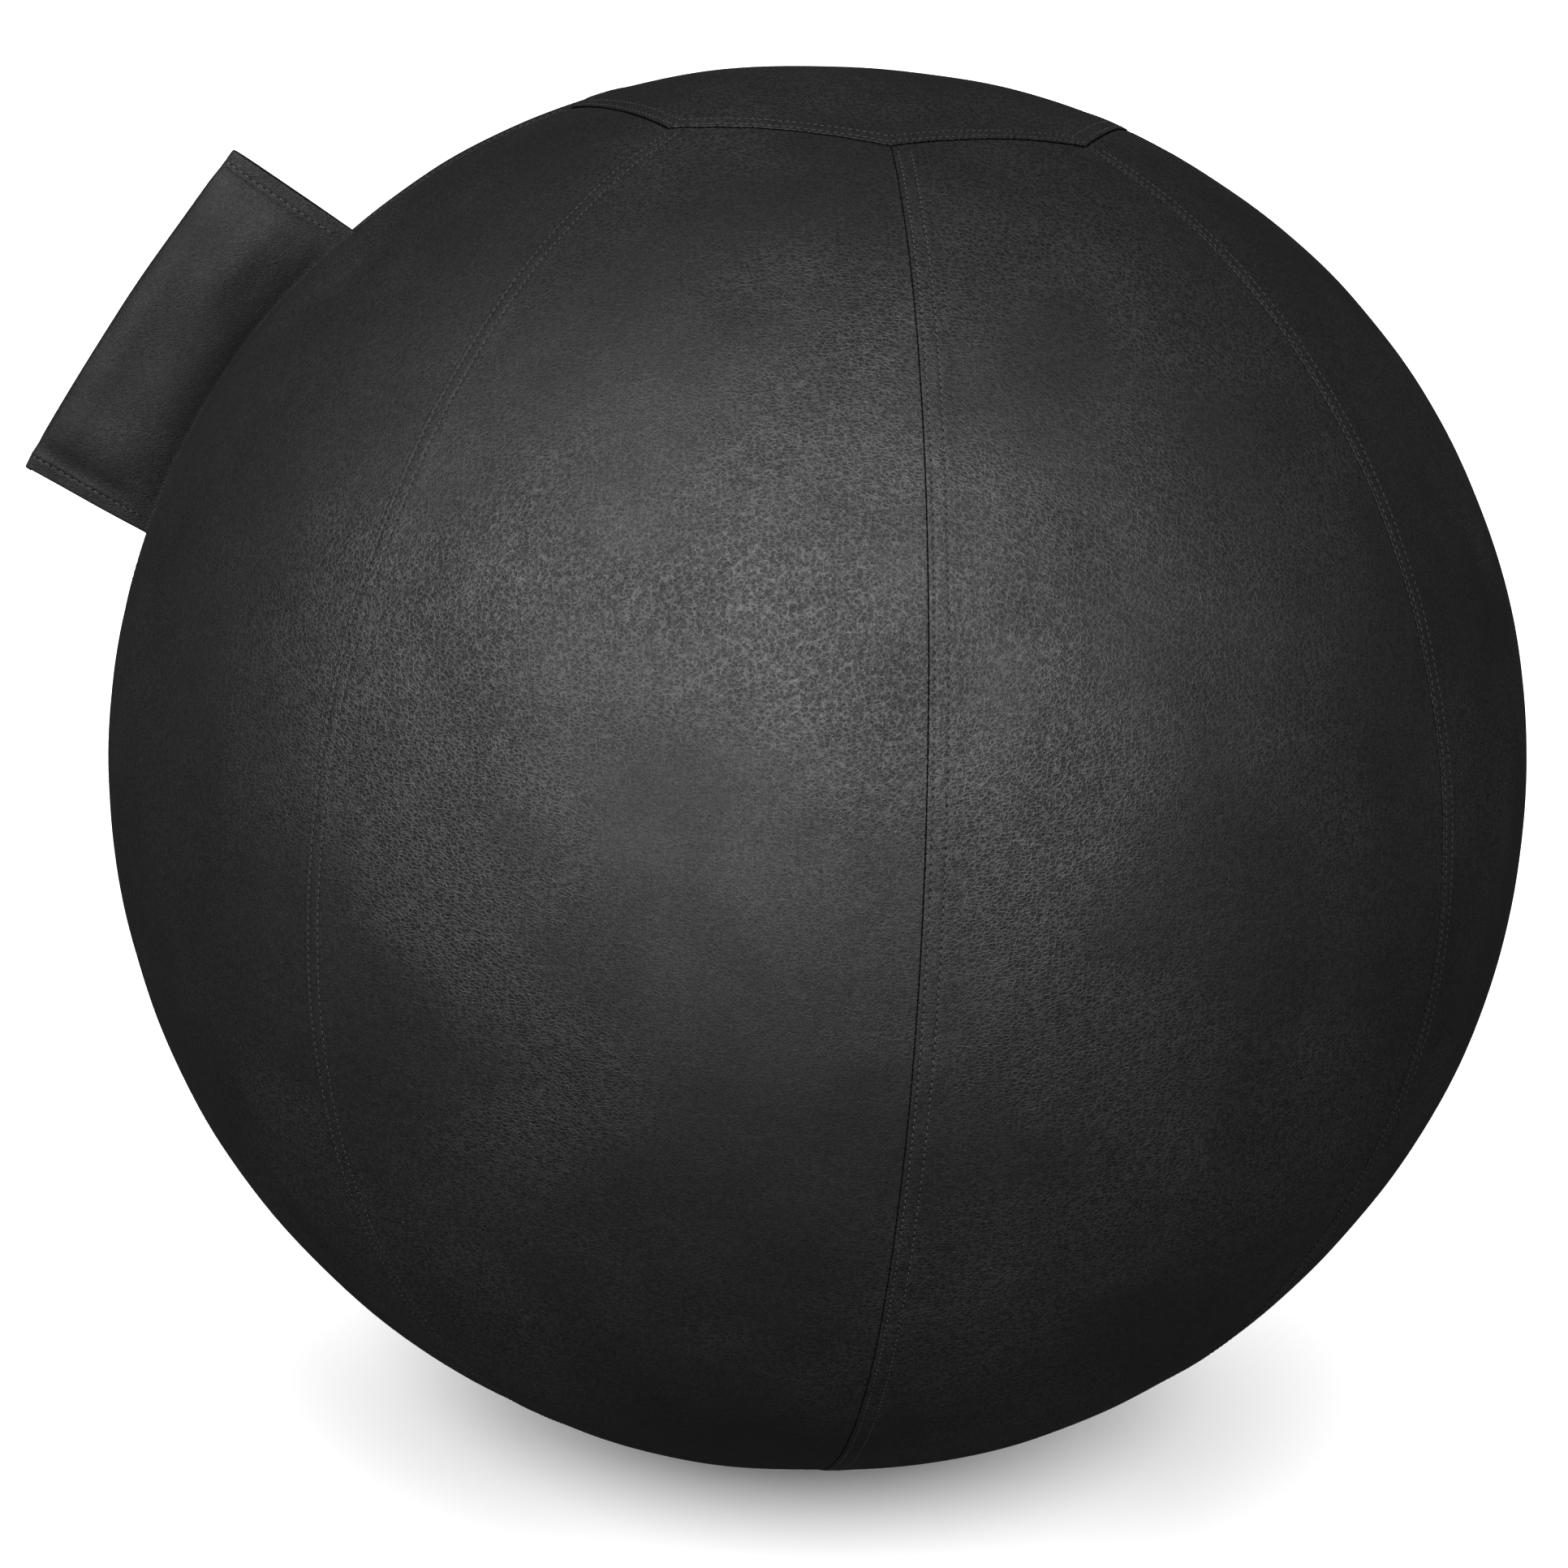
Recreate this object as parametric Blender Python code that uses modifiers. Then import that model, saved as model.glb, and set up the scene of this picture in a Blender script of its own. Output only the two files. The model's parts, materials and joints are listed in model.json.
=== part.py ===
"""Covered sitting ball: a sewn eight-gore cover with a loop handle and a base zip over an inflated bladder.

Units are metres and degrees.  +Z is up and the origin is the centre of the flat face that the ball rests on.
The handle stands out towards -X.  Every shell of the ball is one grid laid on the same surface, at its own depth.
"""
from math import acos, asin, atan, cos, degrees, exp, pi, radians, sin, sqrt, tan

import bmesh
import bpy
from mathutils import Matrix, Vector

# Ball
BALL_RADIUS = 0.325
CENTRE_HEIGHT = 0.319          # the ball's weight flattens it where it rests
CROWN_DIP = 0.006              # the stiff top panel pulls the crown a little flat
CROWN_SPREAD = 26.0            # polar angle over which that dip fades out

# Cover
PANEL_COUNT = 8
CELLS_PER_PANEL = 6
PANEL_ROWS = 18
COVER_THICKNESS = 0.0013
SEAM_GAP = 0.0004
CROWN_CORNER = 22.7            # polar angle of the top panel's corners
BASE_SEAM = 24.5               # angle of the base panel's edge, from the bottom

# Zip, on the far half of the base panel's edge
ZIP_START = -10.0
ZIP_END = 190.0
ZIP_HALF_OPENING = 0.0055      # bare tape on each side of the zip's middle
TAPE_DEPTH = 0.0021
TAPE_THICKNESS = 0.0005
TAPE_HALF_WIDTH = 0.012
TAPE_INNER_EDGE = 0.0007
TAPE_CELLS = 27
COIL_RADIUS = 0.0011
COIL_DEPTH = 0.0007
COIL_SPACING = 0.00165         # from the zip's middle to each coil's centre
COIL_END = 1.5                 # degrees left for the stop beyond each end of the coils
STOP_SIZE = (0.0026, 0.0052, 0.0024)
SLIDER_SETBACK = 4.5           # degrees from the zip's end to the slider's middle
SLIDER_LENGTH = 0.0110
SLIDER_WIDTH = 0.0086
PULL_LENGTH = 0.0160
PULL_WIDTH = 0.0062
PIN_RADIUS = 0.0007
PIN_HEIGHT = 0.0044            # the puller's pin, above the cover's surface

# Inner parts
BLADDER_DEPTH = 0.0046
BLADDER_THICKNESS = 0.0010
BLADDER_CELLS = 32
BLADDER_ROWS = 24
VALVE_HOLE_RADIUS = 0.0095
VALVE_BORE = 0.0050
VALVE_LENGTH = 0.024
WEIGHT_ANGLE = 15.0            # the weight ring's middle, from the bottom
WEIGHT_HALF_ANGLE = 5.2
WEIGHT_HEIGHT = 0.0130

# Handle
HANDLE_POLAR = 57.5            # polar angle of the handle's middle
HANDLE_HALF_WIDTH = 0.085
HANDLE_FLARE = 0.0045          # the lower end is this much wider at the fold than at the root
HANDLE_REACH = 0.376           # the fold, from the ball's centre
HANDLE_THICKNESS = 0.0012
LINING_THICKNESS = 0.0008
LEG_HALF = 0.0014              # half the loop's thickness at its root
LOOP_HALF = 0.0075             # and where it is widest
ROOT_CLEARANCE = 0.0010
HINGE_HEIGHT = 0.0025          # the fold line of the root, above the ball
RISE_END = 0.40                # the loop has opened fully at this share of its depth
NOSE_START = 0.76              # and starts to close into the fold at this one
ANCHOR_LENGTH = 0.200
ANCHOR_WIDTH = 0.020


# ---------------------------------------------------------------------------------------------- materials
def material(name, colour, roughness, metallic=0.0):
    made = bpy.data.materials.new(name)
    made.use_nodes = True
    shader = made.node_tree.nodes["Principled BSDF"]
    shader.inputs["Base Color"].default_value = (*colour, 1.0)
    shader.inputs["Roughness"].default_value = roughness
    shader.inputs["Metallic"].default_value = metallic
    return made


# ---------------------------------------------------------------------------------------------- scene tools
def clear_scene():
    for thing in list(bpy.data.objects):
        bpy.data.objects.remove(thing, do_unlink=True)


def new_collection(name):
    made = bpy.data.collections.new(name)
    bpy.context.scene.collection.children.link(made)
    return made


def add_object(name, data, collection, finish=None, parent=None):
    thing = bpy.data.objects.new(name, data)
    collection.objects.link(thing)
    if finish:
        data.materials.append(finish)
    if parent:
        thing.parent = parent
    return thing


def add_empty(name, matrix, parent=None):
    empty = add_object(name, None, PARTS, parent=parent)
    empty.matrix_local = matrix
    empty.empty_display_size = 0.03
    return empty


def smooth(mesh, angle=35.0):
    mesh.shade_smooth()
    mesh.set_sharp_from_angle(angle=radians(angle))


def frame(origin, x_axis, y_axis, z_axis):
    matrix = Matrix((x_axis, y_axis, z_axis)).transposed().to_4x4()
    matrix.translation = origin
    return matrix


def add_shell(name, place, cells, thickness, finish, parent=None):
    """A grid of cells laid out by place(u, v), both 0 to 1, and thickened away from its front face."""
    mesh = bpy.data.meshes.new(name)
    shape = bmesh.new()
    bmesh.ops.create_grid(shape, x_segments=cells[0], y_segments=cells[1], size=0.5)
    for vertex in shape.verts:
        vertex.co = place(vertex.co.x + 0.5, vertex.co.y + 0.5)
    bmesh.ops.remove_doubles(shape, verts=shape.verts, dist=0.00001)
    shape.to_mesh(mesh)
    shape.free()
    smooth(mesh)
    shell = add_object(name, mesh, PARTS, finish, parent)
    solidify = shell.modifiers.new("Thickness", "SOLIDIFY")
    solidify.thickness = thickness
    solidify.offset = -1.0
    return shell


def add_turned(name, profile, finish, steps=32):
    """A profile of (radius, height) points, run down its outer side and back up its inner one, turned about Z."""
    mesh = bpy.data.meshes.new(name)
    shape = bmesh.new()
    corners = [shape.verts.new((radius, 0.0, height)) for radius, height in profile]
    for first, second in zip(corners, corners[1:]):
        shape.edges.new((first, second))
    if profile[0][0] > 0.0:
        shape.edges.new((corners[-1], corners[0]))
    shape.to_mesh(mesh)
    shape.free()
    turned = add_object(name, mesh, PARTS, finish)
    screw = turned.modifiers.new("Turn", "SCREW")
    screw.axis = "Z"
    screw.steps = steps
    screw.render_steps = steps
    screw.use_merge_vertices = True
    screw.merge_threshold = 0.00001
    screw.use_smooth_shade = True
    return turned


def block_mesh(name, size, centre=(0.0, 0.0, 0.0)):
    mesh = bpy.data.meshes.new(name)
    shape = bmesh.new()
    bmesh.ops.create_cube(shape, size=1.0)
    bmesh.ops.scale(shape, vec=size, verts=shape.verts)
    bmesh.ops.translate(shape, vec=centre, verts=shape.verts)
    shape.to_mesh(mesh)
    shape.free()
    return mesh


def rod_mesh(name, radius, length, centre=(0.0, 0.0, 0.0), sides=16):
    """A rod along Y."""
    mesh = bpy.data.meshes.new(name)
    shape = bmesh.new()
    bmesh.ops.create_cone(shape, cap_ends=True, segments=sides, radius1=radius, radius2=radius, depth=length)
    bmesh.ops.rotate(shape, matrix=Matrix.Rotation(pi / 2.0, 3, "X"), verts=shape.verts)
    bmesh.ops.translate(shape, vec=centre, verts=shape.verts)
    shape.to_mesh(mesh)
    shape.free()
    return mesh


def apply_tool(target, mesh, operation, parent):
    """Join or cut the target with a hidden tool."""
    tool = add_object(mesh.name, mesh, CUTTERS, parent=parent)
    tool.hide_render = True
    tool.display_type = "WIRE"
    boolean = target.modifiers.new(mesh.name, "BOOLEAN")
    boolean.operation = operation
    boolean.object = tool


# ---------------------------------------------------------------------------------------------- ball surface
def on_ball(azimuth, polar, depth=0.0):
    """The point at a depth under the cover's outer surface; polar runs from the top, in degrees."""
    radius = BALL_RADIUS - depth - CROWN_DIP * exp(-(polar / CROWN_SPREAD) ** 2)
    across = radius * sin(radians(polar))
    height = radius * cos(radians(polar))
    floor = depth - CENTRE_HEIGHT
    if height < floor:
        across *= floor / height
        height = floor
    turn = radians(azimuth)
    return Vector((across * cos(turn), across * sin(turn), CENTRE_HEIGHT + height))


def arc_angle(length):
    return degrees(length / BALL_RADIUS)


def panel_turn(azimuth):
    """Degrees from the middle of the panel that the azimuth falls in."""
    width = 360.0 / PANEL_COUNT
    return (azimuth % width) - width / 2.0


def crown_edge(azimuth):
    """Polar angle of the top panel's straight-sided edge."""
    middle = tan(radians(CROWN_CORNER)) * cos(pi / PANEL_COUNT)
    return degrees(atan(middle / cos(radians(panel_turn(azimuth)))))


def base_gap(azimuth):
    """Half the opening along the base panel's edge, in degrees: wide along the zip, a seam elsewhere."""
    on_zip = (azimuth - ZIP_START) % 360.0 < ZIP_END - ZIP_START
    return arc_angle(ZIP_HALF_OPENING if on_zip else SEAM_GAP / 2.0)


def bump(value):
    return cos(pi * value / 2.0) ** 2 if abs(value) < 1.0 else 0.0


def weight_rise(from_bottom, spare=0.0):
    return WEIGHT_HEIGHT * bump((from_bottom - WEIGHT_ANGLE) / (WEIGHT_HALF_ANGLE + spare))


def bladder_depth(from_bottom):
    """The bladder keeps clear of the zip and is dented by the weight ring and by the valve."""
    zip_dent = 0.0022 * bump((from_bottom - BASE_SEAM) / 6.0)
    valve_dent = 0.0012 * bump(from_bottom / 12.0)
    return BLADDER_DEPTH + zip_dent + valve_dent + weight_rise(from_bottom, 2.2)


# ---------------------------------------------------------------------------------------------- cover
def make_top_panel():
    edge_gap = arc_angle(SEAM_GAP / 2.0)

    def place(u, v):
        azimuth = 360.0 * u
        return on_ball(azimuth, (crown_edge(azimuth) - edge_gap) * (1.0 - v))

    add_shell("top_panel", place, (PANEL_COUNT * CELLS_PER_PANEL, 3), COVER_THICKNESS, LEATHER)


def make_side_panels():
    width = 360.0 / PANEL_COUNT
    for number in range(PANEL_COUNT):
        start = number * width

        def place(u, v):
            # the whole edge of a corner vertex is read a hair inside its own panel
            azimuth = start + width * u
            inside = start + width * min(max(u, 0.0001), 0.9999)
            top = crown_edge(inside) + arc_angle(SEAM_GAP / 2.0)
            bottom = 180.0 - BASE_SEAM - base_gap(azimuth)
            polar = bottom + (top - bottom) * v
            seam = degrees(SEAM_GAP / 2.0 / (BALL_RADIUS * sin(radians(polar))))
            return on_ball(azimuth + seam * (1.0 - 2.0 * u), polar)

        add_shell(f"side_panel_{number + 1}", place, (CELLS_PER_PANEL, PANEL_ROWS), COVER_THICKNESS, LEATHER)


def make_base_panel():
    """A round panel, flat where it stands on the floor."""
    flat_edge = degrees(acos(CENTRE_HEIGHT / BALL_RADIUS))
    flat_share = 0.4

    def place(u, v):
        azimuth = 360.0 * u
        edge = BASE_SEAM - base_gap(azimuth)
        if v <= flat_share + 0.001:
            from_bottom = flat_edge * v / flat_share
        else:
            from_bottom = flat_edge + (edge - flat_edge) * (v - flat_share) / (1.0 - flat_share)
        return on_ball(azimuth, 180.0 - from_bottom)

    add_shell("base_panel", place, (PANEL_COUNT * CELLS_PER_PANEL, 5), COVER_THICKNESS, BASE_RUBBER)


# ---------------------------------------------------------------------------------------------- zip
def make_zip_tapes():
    edges = {"zip_tape_side": (TAPE_INNER_EDGE, TAPE_HALF_WIDTH),
             "zip_tape_base": (-TAPE_HALF_WIDTH, -TAPE_INNER_EDGE)}
    for name, (low, high) in edges.items():

        def place(u, v):
            azimuth = ZIP_START + (ZIP_END - ZIP_START) * u
            from_bottom = BASE_SEAM + arc_angle(low + (high - low) * v)
            return on_ball(azimuth, 180.0 - from_bottom, TAPE_DEPTH)

        add_shell(name, place, (TAPE_CELLS, 1), TAPE_THICKNESS, TAPE)


def make_zip_coils():
    point_step = 5.0
    for name, side in (("zip_coil_side", 1.0), ("zip_coil_base", -1.0)):
        start = ZIP_START + COIL_END
        sweep = ZIP_END - ZIP_START - 2.0 * COIL_END
        count = round(sweep / point_step)
        curve = bpy.data.curves.new(name, "CURVE")
        curve.dimensions = "3D"
        curve.bevel_depth = COIL_RADIUS
        curve.bevel_resolution = 1
        curve.use_fill_caps = True
        spline = curve.splines.new("POLY")
        spline.points.add(count)
        for index, point in enumerate(spline.points):
            place = on_ball(start + sweep * index / count,
                            180.0 - BASE_SEAM - side * arc_angle(COIL_SPACING), COIL_DEPTH)
            point.co = (*place, 1.0)
        add_object(name, curve, PARTS, NYLON)


def zip_frame(azimuth):
    """At the zip's middle: X along the zip, Y up the ball, Z out of the surface."""
    turn, tilt = radians(azimuth), radians(BASE_SEAM)
    along = Vector((-sin(turn), cos(turn), 0.0))
    outward = Vector((sin(tilt) * cos(turn), sin(tilt) * sin(turn), -cos(tilt)))
    return frame(on_ball(azimuth, 180.0 - BASE_SEAM), along, outward.cross(along), outward)


def make_zip_stops():
    inset = COIL_END / 2.0
    for name, azimuth in (("zip_stop_closed_end", ZIP_START + inset), ("zip_stop_open_end", ZIP_END - inset)):
        bottom = -TAPE_DEPTH + 0.0004
        mesh = block_mesh(name, STOP_SIZE, (0.0, 0.0, bottom + STOP_SIZE[2] / 2.0))
        stop = add_object(name, mesh, PARTS, METAL)
        stop.matrix_local = zip_frame(azimuth)
        bevel = stop.modifiers.new("Edges", "BEVEL")
        bevel.width = 0.0004
        bevel.segments = 2


def make_slider():
    """Two plates joined by a post between the coils, with side flanges and a bail for the puller."""
    plate = 0.0010
    outer_plate = 0.0007       # underside of the outer plate, above the surface
    inner_plate = -0.0030      # top of the inner plate
    flange = 0.0007
    lug = 0.0011
    lug_spread = 0.0027

    centre = Matrix.Translation((0.0, 0.0, CENTRE_HEIGHT))
    axis = add_empty("zip_axis", centre)
    azimuth = ZIP_START + SLIDER_SETBACK
    seat = add_empty("slider_seat", centre.inverted() @ zip_frame(azimuth), axis)

    body = block_mesh("zip_slider", (SLIDER_LENGTH, SLIDER_WIDTH, plate), (0.0, 0.0, outer_plate + plate / 2.0))
    slider = add_object("zip_slider", body, PARTS, METAL, seat)
    apply_tool(slider, block_mesh("slider_inner_plate", (SLIDER_LENGTH, SLIDER_WIDTH, plate * 0.8),
                                  (0.0, 0.0, inner_plate - plate * 0.4)), "UNION", seat)
    post_height = outer_plate - inner_plate + plate
    apply_tool(slider, block_mesh("slider_post", (0.0030, 0.0004, post_height),
                                  (-0.0030, 0.0, (outer_plate + inner_plate) / 2.0)), "UNION", seat)
    for side in (-1.0, 1.0):
        flange_y = side * (SLIDER_WIDTH - flange) / 2.0
        flange_height = outer_plate + TAPE_DEPTH - 0.0004 + plate / 2.0
        apply_tool(slider, block_mesh(f"slider_flange_{side:+.0f}", (SLIDER_LENGTH, flange, flange_height),
                                      (0.0, flange_y, outer_plate + plate / 2.0 - flange_height / 2.0)),
                   "UNION", seat)
        lug_top = PIN_HEIGHT + PIN_RADIUS + 0.0006
        lug_bottom = outer_plate + plate / 2.0
        apply_tool(slider, block_mesh(f"slider_lug_{side:+.0f}", (0.0030, lug, lug_top - lug_bottom),
                                      (0.0, side * lug_spread, (lug_top + lug_bottom) / 2.0)), "UNION", seat)
    apply_tool(slider, rod_mesh("slider_pin", PIN_RADIUS, 2.0 * lug_spread, (0.0, 0.0, PIN_HEIGHT)),
               "UNION", seat)
    return seat


def make_puller(seat):
    """A small pull tab that hangs from the slider's pin, straight out from the ball's underside."""
    eye_radius = 0.0021
    eye_width = 0.0034
    tab_thickness = 0.0014
    hinge = add_empty("puller_hinge", Matrix.Translation((0.0, 0.0, PIN_HEIGHT)), seat)
    tab_start = eye_radius * 0.7
    tab = block_mesh("zip_puller", (tab_thickness, PULL_WIDTH, PULL_LENGTH - 0.0030),
                     (0.0, 0.0, 0.0030 + (PULL_LENGTH - 0.0030) / 2.0))
    puller = add_object("zip_puller", tab, PARTS, METAL, hinge)
    bevel = puller.modifiers.new("Edges", "BEVEL")
    bevel.width = 0.0004
    bevel.segments = 1
    apply_tool(puller, block_mesh("puller_neck", (tab_thickness * 0.9, eye_width * 0.94, 0.0030),
                                  (0.0, 0.0, tab_start + 0.0015)), "UNION", hinge)
    apply_tool(puller, rod_mesh("puller_eye", eye_radius, eye_width), "UNION", hinge)
    apply_tool(puller, rod_mesh("puller_hole", PIN_RADIUS + 0.0004, 2.0 * eye_width), "DIFFERENCE", hinge)


# ---------------------------------------------------------------------------------------------- inside
def make_bladder():
    """An inflated shell with one opening, at its underside, for the valve."""
    hole = degrees(asin(VALVE_HOLE_RADIUS / (CENTRE_HEIGHT - bladder_depth(0.0))))
    fine_end = 28.0            # the dented rows near the base are closer together
    fine_share = 1.0 / 3.0

    def place(u, v):
        if v < fine_share + 0.001:
            from_bottom = hole + (fine_end - hole) * v / fine_share
        else:
            from_bottom = fine_end + (180.0 - fine_end) * (v - fine_share) / (1.0 - fine_share)
        return on_ball(360.0 * u, 180.0 - from_bottom, bladder_depth(from_bottom))

    add_shell("bladder", place, (BLADDER_CELLS, BLADDER_ROWS), BLADDER_THICKNESS, PVC)


def make_valve():
    """A moulded collar in the bladder's opening, with a ribbed plug pressed up into it."""
    skin = bladder_depth(0.0)
    flange_top = skin - 0.0006
    flange_bottom = flange_top - 0.0010
    neck = VALVE_HOLE_RADIUS - 0.0006
    top = skin + VALVE_LENGTH
    add_turned("valve_collar", [(neck - 0.0016, top), (neck, top - 0.0016), (neck, flange_top),
                                (0.0170, flange_top), (0.0180, flange_bottom + 0.0003),
                                (0.0176, flange_bottom), (VALVE_BORE, flange_bottom), (VALVE_BORE, top)], PVC)
    head_top = flange_bottom - 0.0003
    head_bottom = head_top - 0.0012
    stem = VALVE_BORE - 0.0009
    rib = VALVE_BORE - 0.0004
    rib_pitch = 0.0045
    ribs = []
    for number in range(4):
        height = top - 0.0030 - rib_pitch * number
        ribs += [(stem, height), (rib, height - 0.0006), (rib, height - 0.0014), (stem, height - 0.0020)]
    add_turned("valve_plug", [(0.0, top - 0.0005), (stem - 0.0010, top - 0.0005), (stem, top - 0.0018), *ribs,
                              (stem, head_top), (0.0110, head_top), (0.0118, head_top - 0.0004),
                              (0.0110, head_bottom), (0.0, head_bottom)], PLUG, steps=16)


def make_weight_ring():
    """A strip of fabric folded round a ring of heavy granulate, its edges meeting at the ring's inner side."""
    steps = 6
    turns = 24
    sleeve_depth = COVER_THICKNESS + 0.0006
    slit = 0.0004
    clearance = 0.0003
    angles = [WEIGHT_ANGLE + WEIGHT_HALF_ANGLE * (2.0 * index / steps - 1.0) for index in range(steps + 1)]

    def line(some_angles, above, risen=False):
        """Points at a height above the sleeve's underside, lifted by the ring's rise where it says so."""
        return [on_ball(0.0, 180.0 - angle, sleeve_depth + above + (weight_rise(angle) if risen else 0.0))
                for angle in some_angles]

    top = line(angles, 2.0 * LINING_THICKNESS + slit, risen=True)
    underside = line(angles, 0.0)
    hollow_floor = line(angles[:-1], LINING_THICKNESS)
    hollow_roof = line(angles[:-1], LINING_THICKNESS + slit, risen=True)
    sleeve = top + underside[::-1] + hollow_floor + hollow_roof[::-1]
    add_turned("base_weight_sleeve", [(point.x, point.z) for point in sleeve], WEBBING, steps=turns)

    fill_top = line(angles[1:-1], LINING_THICKNESS + slit - clearance, risen=True)
    fill_floor = line(angles[1:-1], LINING_THICKNESS + clearance)
    fill = fill_top + fill_floor[::-1]
    add_turned("base_weight_fill", [(point.x, point.z) for point in fill], GRANULATE, steps=turns)


# ---------------------------------------------------------------------------------------------- handle
def handle_frame():
    """On the root's fold line: X across the loop, Y up the seam, Z outward."""
    tilt = radians(HANDLE_POLAR)
    up_the_seam = Vector((cos(tilt), 0.0, sin(tilt)))
    outward = Vector((-sin(tilt), 0.0, cos(tilt)))
    origin = Vector((0.0, 0.0, CENTRE_HEIGHT)) + outward * (BALL_RADIUS + HINGE_HEIGHT)
    return frame(origin, up_the_seam.cross(outward), up_the_seam, outward)


def loop_half_width(share):
    """Half the loop's outer thickness at a share of its depth, up to where the fold begins."""
    rise = min(share / RISE_END, 1.0)
    return LEG_HALF + (LOOP_HALF - LEG_HALF) * rise * rise * (3.0 - 2.0 * rise)


def loop_point(around, along, inset, start=0.0):
    """around runs 0 to 1 from one root over the fold to the other, along runs -1 to 1 up the seam."""
    legs = 0.6
    climb = 1.0 - abs(2.0 * around - 1.0)
    side = -1.0 if around < 0.5 else 1.0
    lower_half = HANDLE_HALF_WIDTH - HANDLE_FLARE + HANDLE_FLARE * climb
    y = along * (HANDLE_HALF_WIDTH if along > 0.0 else lower_half)
    root = sqrt(BALL_RADIUS ** 2 - y ** 2) - BALL_RADIUS - HINGE_HEIGHT + ROOT_CLEARANCE
    fold = HANDLE_REACH - BALL_RADIUS - HINGE_HEIGHT
    if climb < legs:
        share = start + (NOSE_START - start) * climb / legs
        x = loop_half_width(share) - inset
        z = root + share * (fold - root)
    else:
        turn = (climb - legs) / (1.0 - legs) * pi / 2.0
        x = (LOOP_HALF - inset) * cos(turn)
        z = root + NOSE_START * (fold - root) + ((1.0 - NOSE_START) * (fold - root) - inset) * sin(turn)
    return Vector((side * x, y, z))


def make_handle():
    """A wide strip folded into a loop, lined inside, and hinged where it leaves the seam."""
    hinge = add_empty("handle_hinge", handle_frame())
    lining_inset = HANDLE_THICKNESS + 0.0003
    lining_start = 0.17
    lining_share = 0.84        # the lining stops at the hems

    def strip(u, v):
        return loop_point(u, 2.0 * v - 1.0, 0.0)

    def lining(u, v):
        return loop_point(u, lining_share * (2.0 * v - 1.0), lining_inset, lining_start)

    add_shell("handle_strip", strip, (20, 10), HANDLE_THICKNESS, LEATHER, hinge)
    add_shell("handle_lining", lining, (20, 8), LINING_THICKNESS, WEBBING, hinge)


def make_handle_anchor():
    """A tape inside the seam that the handle's ends are sewn to."""
    depth = 0.0030

    def place(u, v):
        azimuth = 180.0 + arc_angle(ANCHOR_WIDTH) * (u - 0.5) / sin(radians(HANDLE_POLAR))
        return on_ball(azimuth, HANDLE_POLAR - arc_angle(ANCHOR_LENGTH) * (v - 0.5), depth)

    add_shell("handle_anchor_tape", place, (2, 8), LINING_THICKNESS, WEBBING)


# ---------------------------------------------------------------------------------------------- build
clear_scene()
PARTS = new_collection("covered_sitting_ball")
CUTTERS = new_collection("cutters")

LEATHER = material("black_leatherette", (0.018, 0.018, 0.019), 0.5)
BASE_RUBBER = material("base_grip_fabric", (0.014, 0.014, 0.014), 0.75)
TAPE = material("zip_tape", (0.012, 0.012, 0.012), 0.85)
NYLON = material("nylon_coil", (0.02, 0.02, 0.02), 0.4)
METAL = material("gunmetal", (0.10, 0.10, 0.11), 0.35, 1.0)
PVC = material("grey_pvc", (0.16, 0.17, 0.18), 0.45)
PLUG = material("white_plug", (0.75, 0.75, 0.73), 0.4)
WEBBING = material("black_webbing", (0.015, 0.015, 0.016), 0.9)
GRANULATE = material("weight_granulate", (0.10, 0.09, 0.08), 0.9)

make_top_panel()
make_side_panels()
make_base_panel()
make_zip_tapes()
make_zip_coils()
make_zip_stops()
make_puller(make_slider())
make_bladder()
make_valve()
make_weight_ring()
make_handle()
make_handle_anchor()
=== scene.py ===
"""Looks of the covered sitting ball: sewn leatherette panels, twin top-stitching, loop handle and base zip.

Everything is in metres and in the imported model's frame.  Angles are in degrees; polar runs from the ball's
top, and azimuth round it from +X.
"""
import json
from math import atan, cos, pi, radians, sin, sqrt, tan

import bmesh
import bpy
import numpy as np
from mathutils import Matrix, Vector


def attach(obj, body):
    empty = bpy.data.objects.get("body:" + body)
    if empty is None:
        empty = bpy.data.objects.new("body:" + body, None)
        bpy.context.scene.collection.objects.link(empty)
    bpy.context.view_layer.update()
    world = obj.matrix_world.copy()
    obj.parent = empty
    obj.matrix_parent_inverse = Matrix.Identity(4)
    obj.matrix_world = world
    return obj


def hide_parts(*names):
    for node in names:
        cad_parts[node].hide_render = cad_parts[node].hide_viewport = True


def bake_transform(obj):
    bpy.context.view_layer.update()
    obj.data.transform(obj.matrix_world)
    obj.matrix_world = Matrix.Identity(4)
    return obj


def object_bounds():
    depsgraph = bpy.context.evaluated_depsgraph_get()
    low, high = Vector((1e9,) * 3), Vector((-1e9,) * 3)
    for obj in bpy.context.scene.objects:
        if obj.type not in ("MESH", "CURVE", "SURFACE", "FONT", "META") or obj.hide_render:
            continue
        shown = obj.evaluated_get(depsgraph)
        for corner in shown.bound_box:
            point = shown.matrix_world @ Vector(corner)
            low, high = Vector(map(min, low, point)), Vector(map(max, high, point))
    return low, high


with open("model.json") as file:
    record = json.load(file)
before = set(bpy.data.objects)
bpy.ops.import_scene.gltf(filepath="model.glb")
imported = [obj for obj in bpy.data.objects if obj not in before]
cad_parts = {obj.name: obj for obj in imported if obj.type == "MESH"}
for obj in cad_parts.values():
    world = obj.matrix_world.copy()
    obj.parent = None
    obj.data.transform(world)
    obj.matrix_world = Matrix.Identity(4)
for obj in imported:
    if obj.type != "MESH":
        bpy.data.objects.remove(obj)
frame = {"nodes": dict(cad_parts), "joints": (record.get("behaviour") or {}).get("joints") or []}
cad_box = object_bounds()
joints = {joint["name"]: joint for joint in frame["joints"]}

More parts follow.
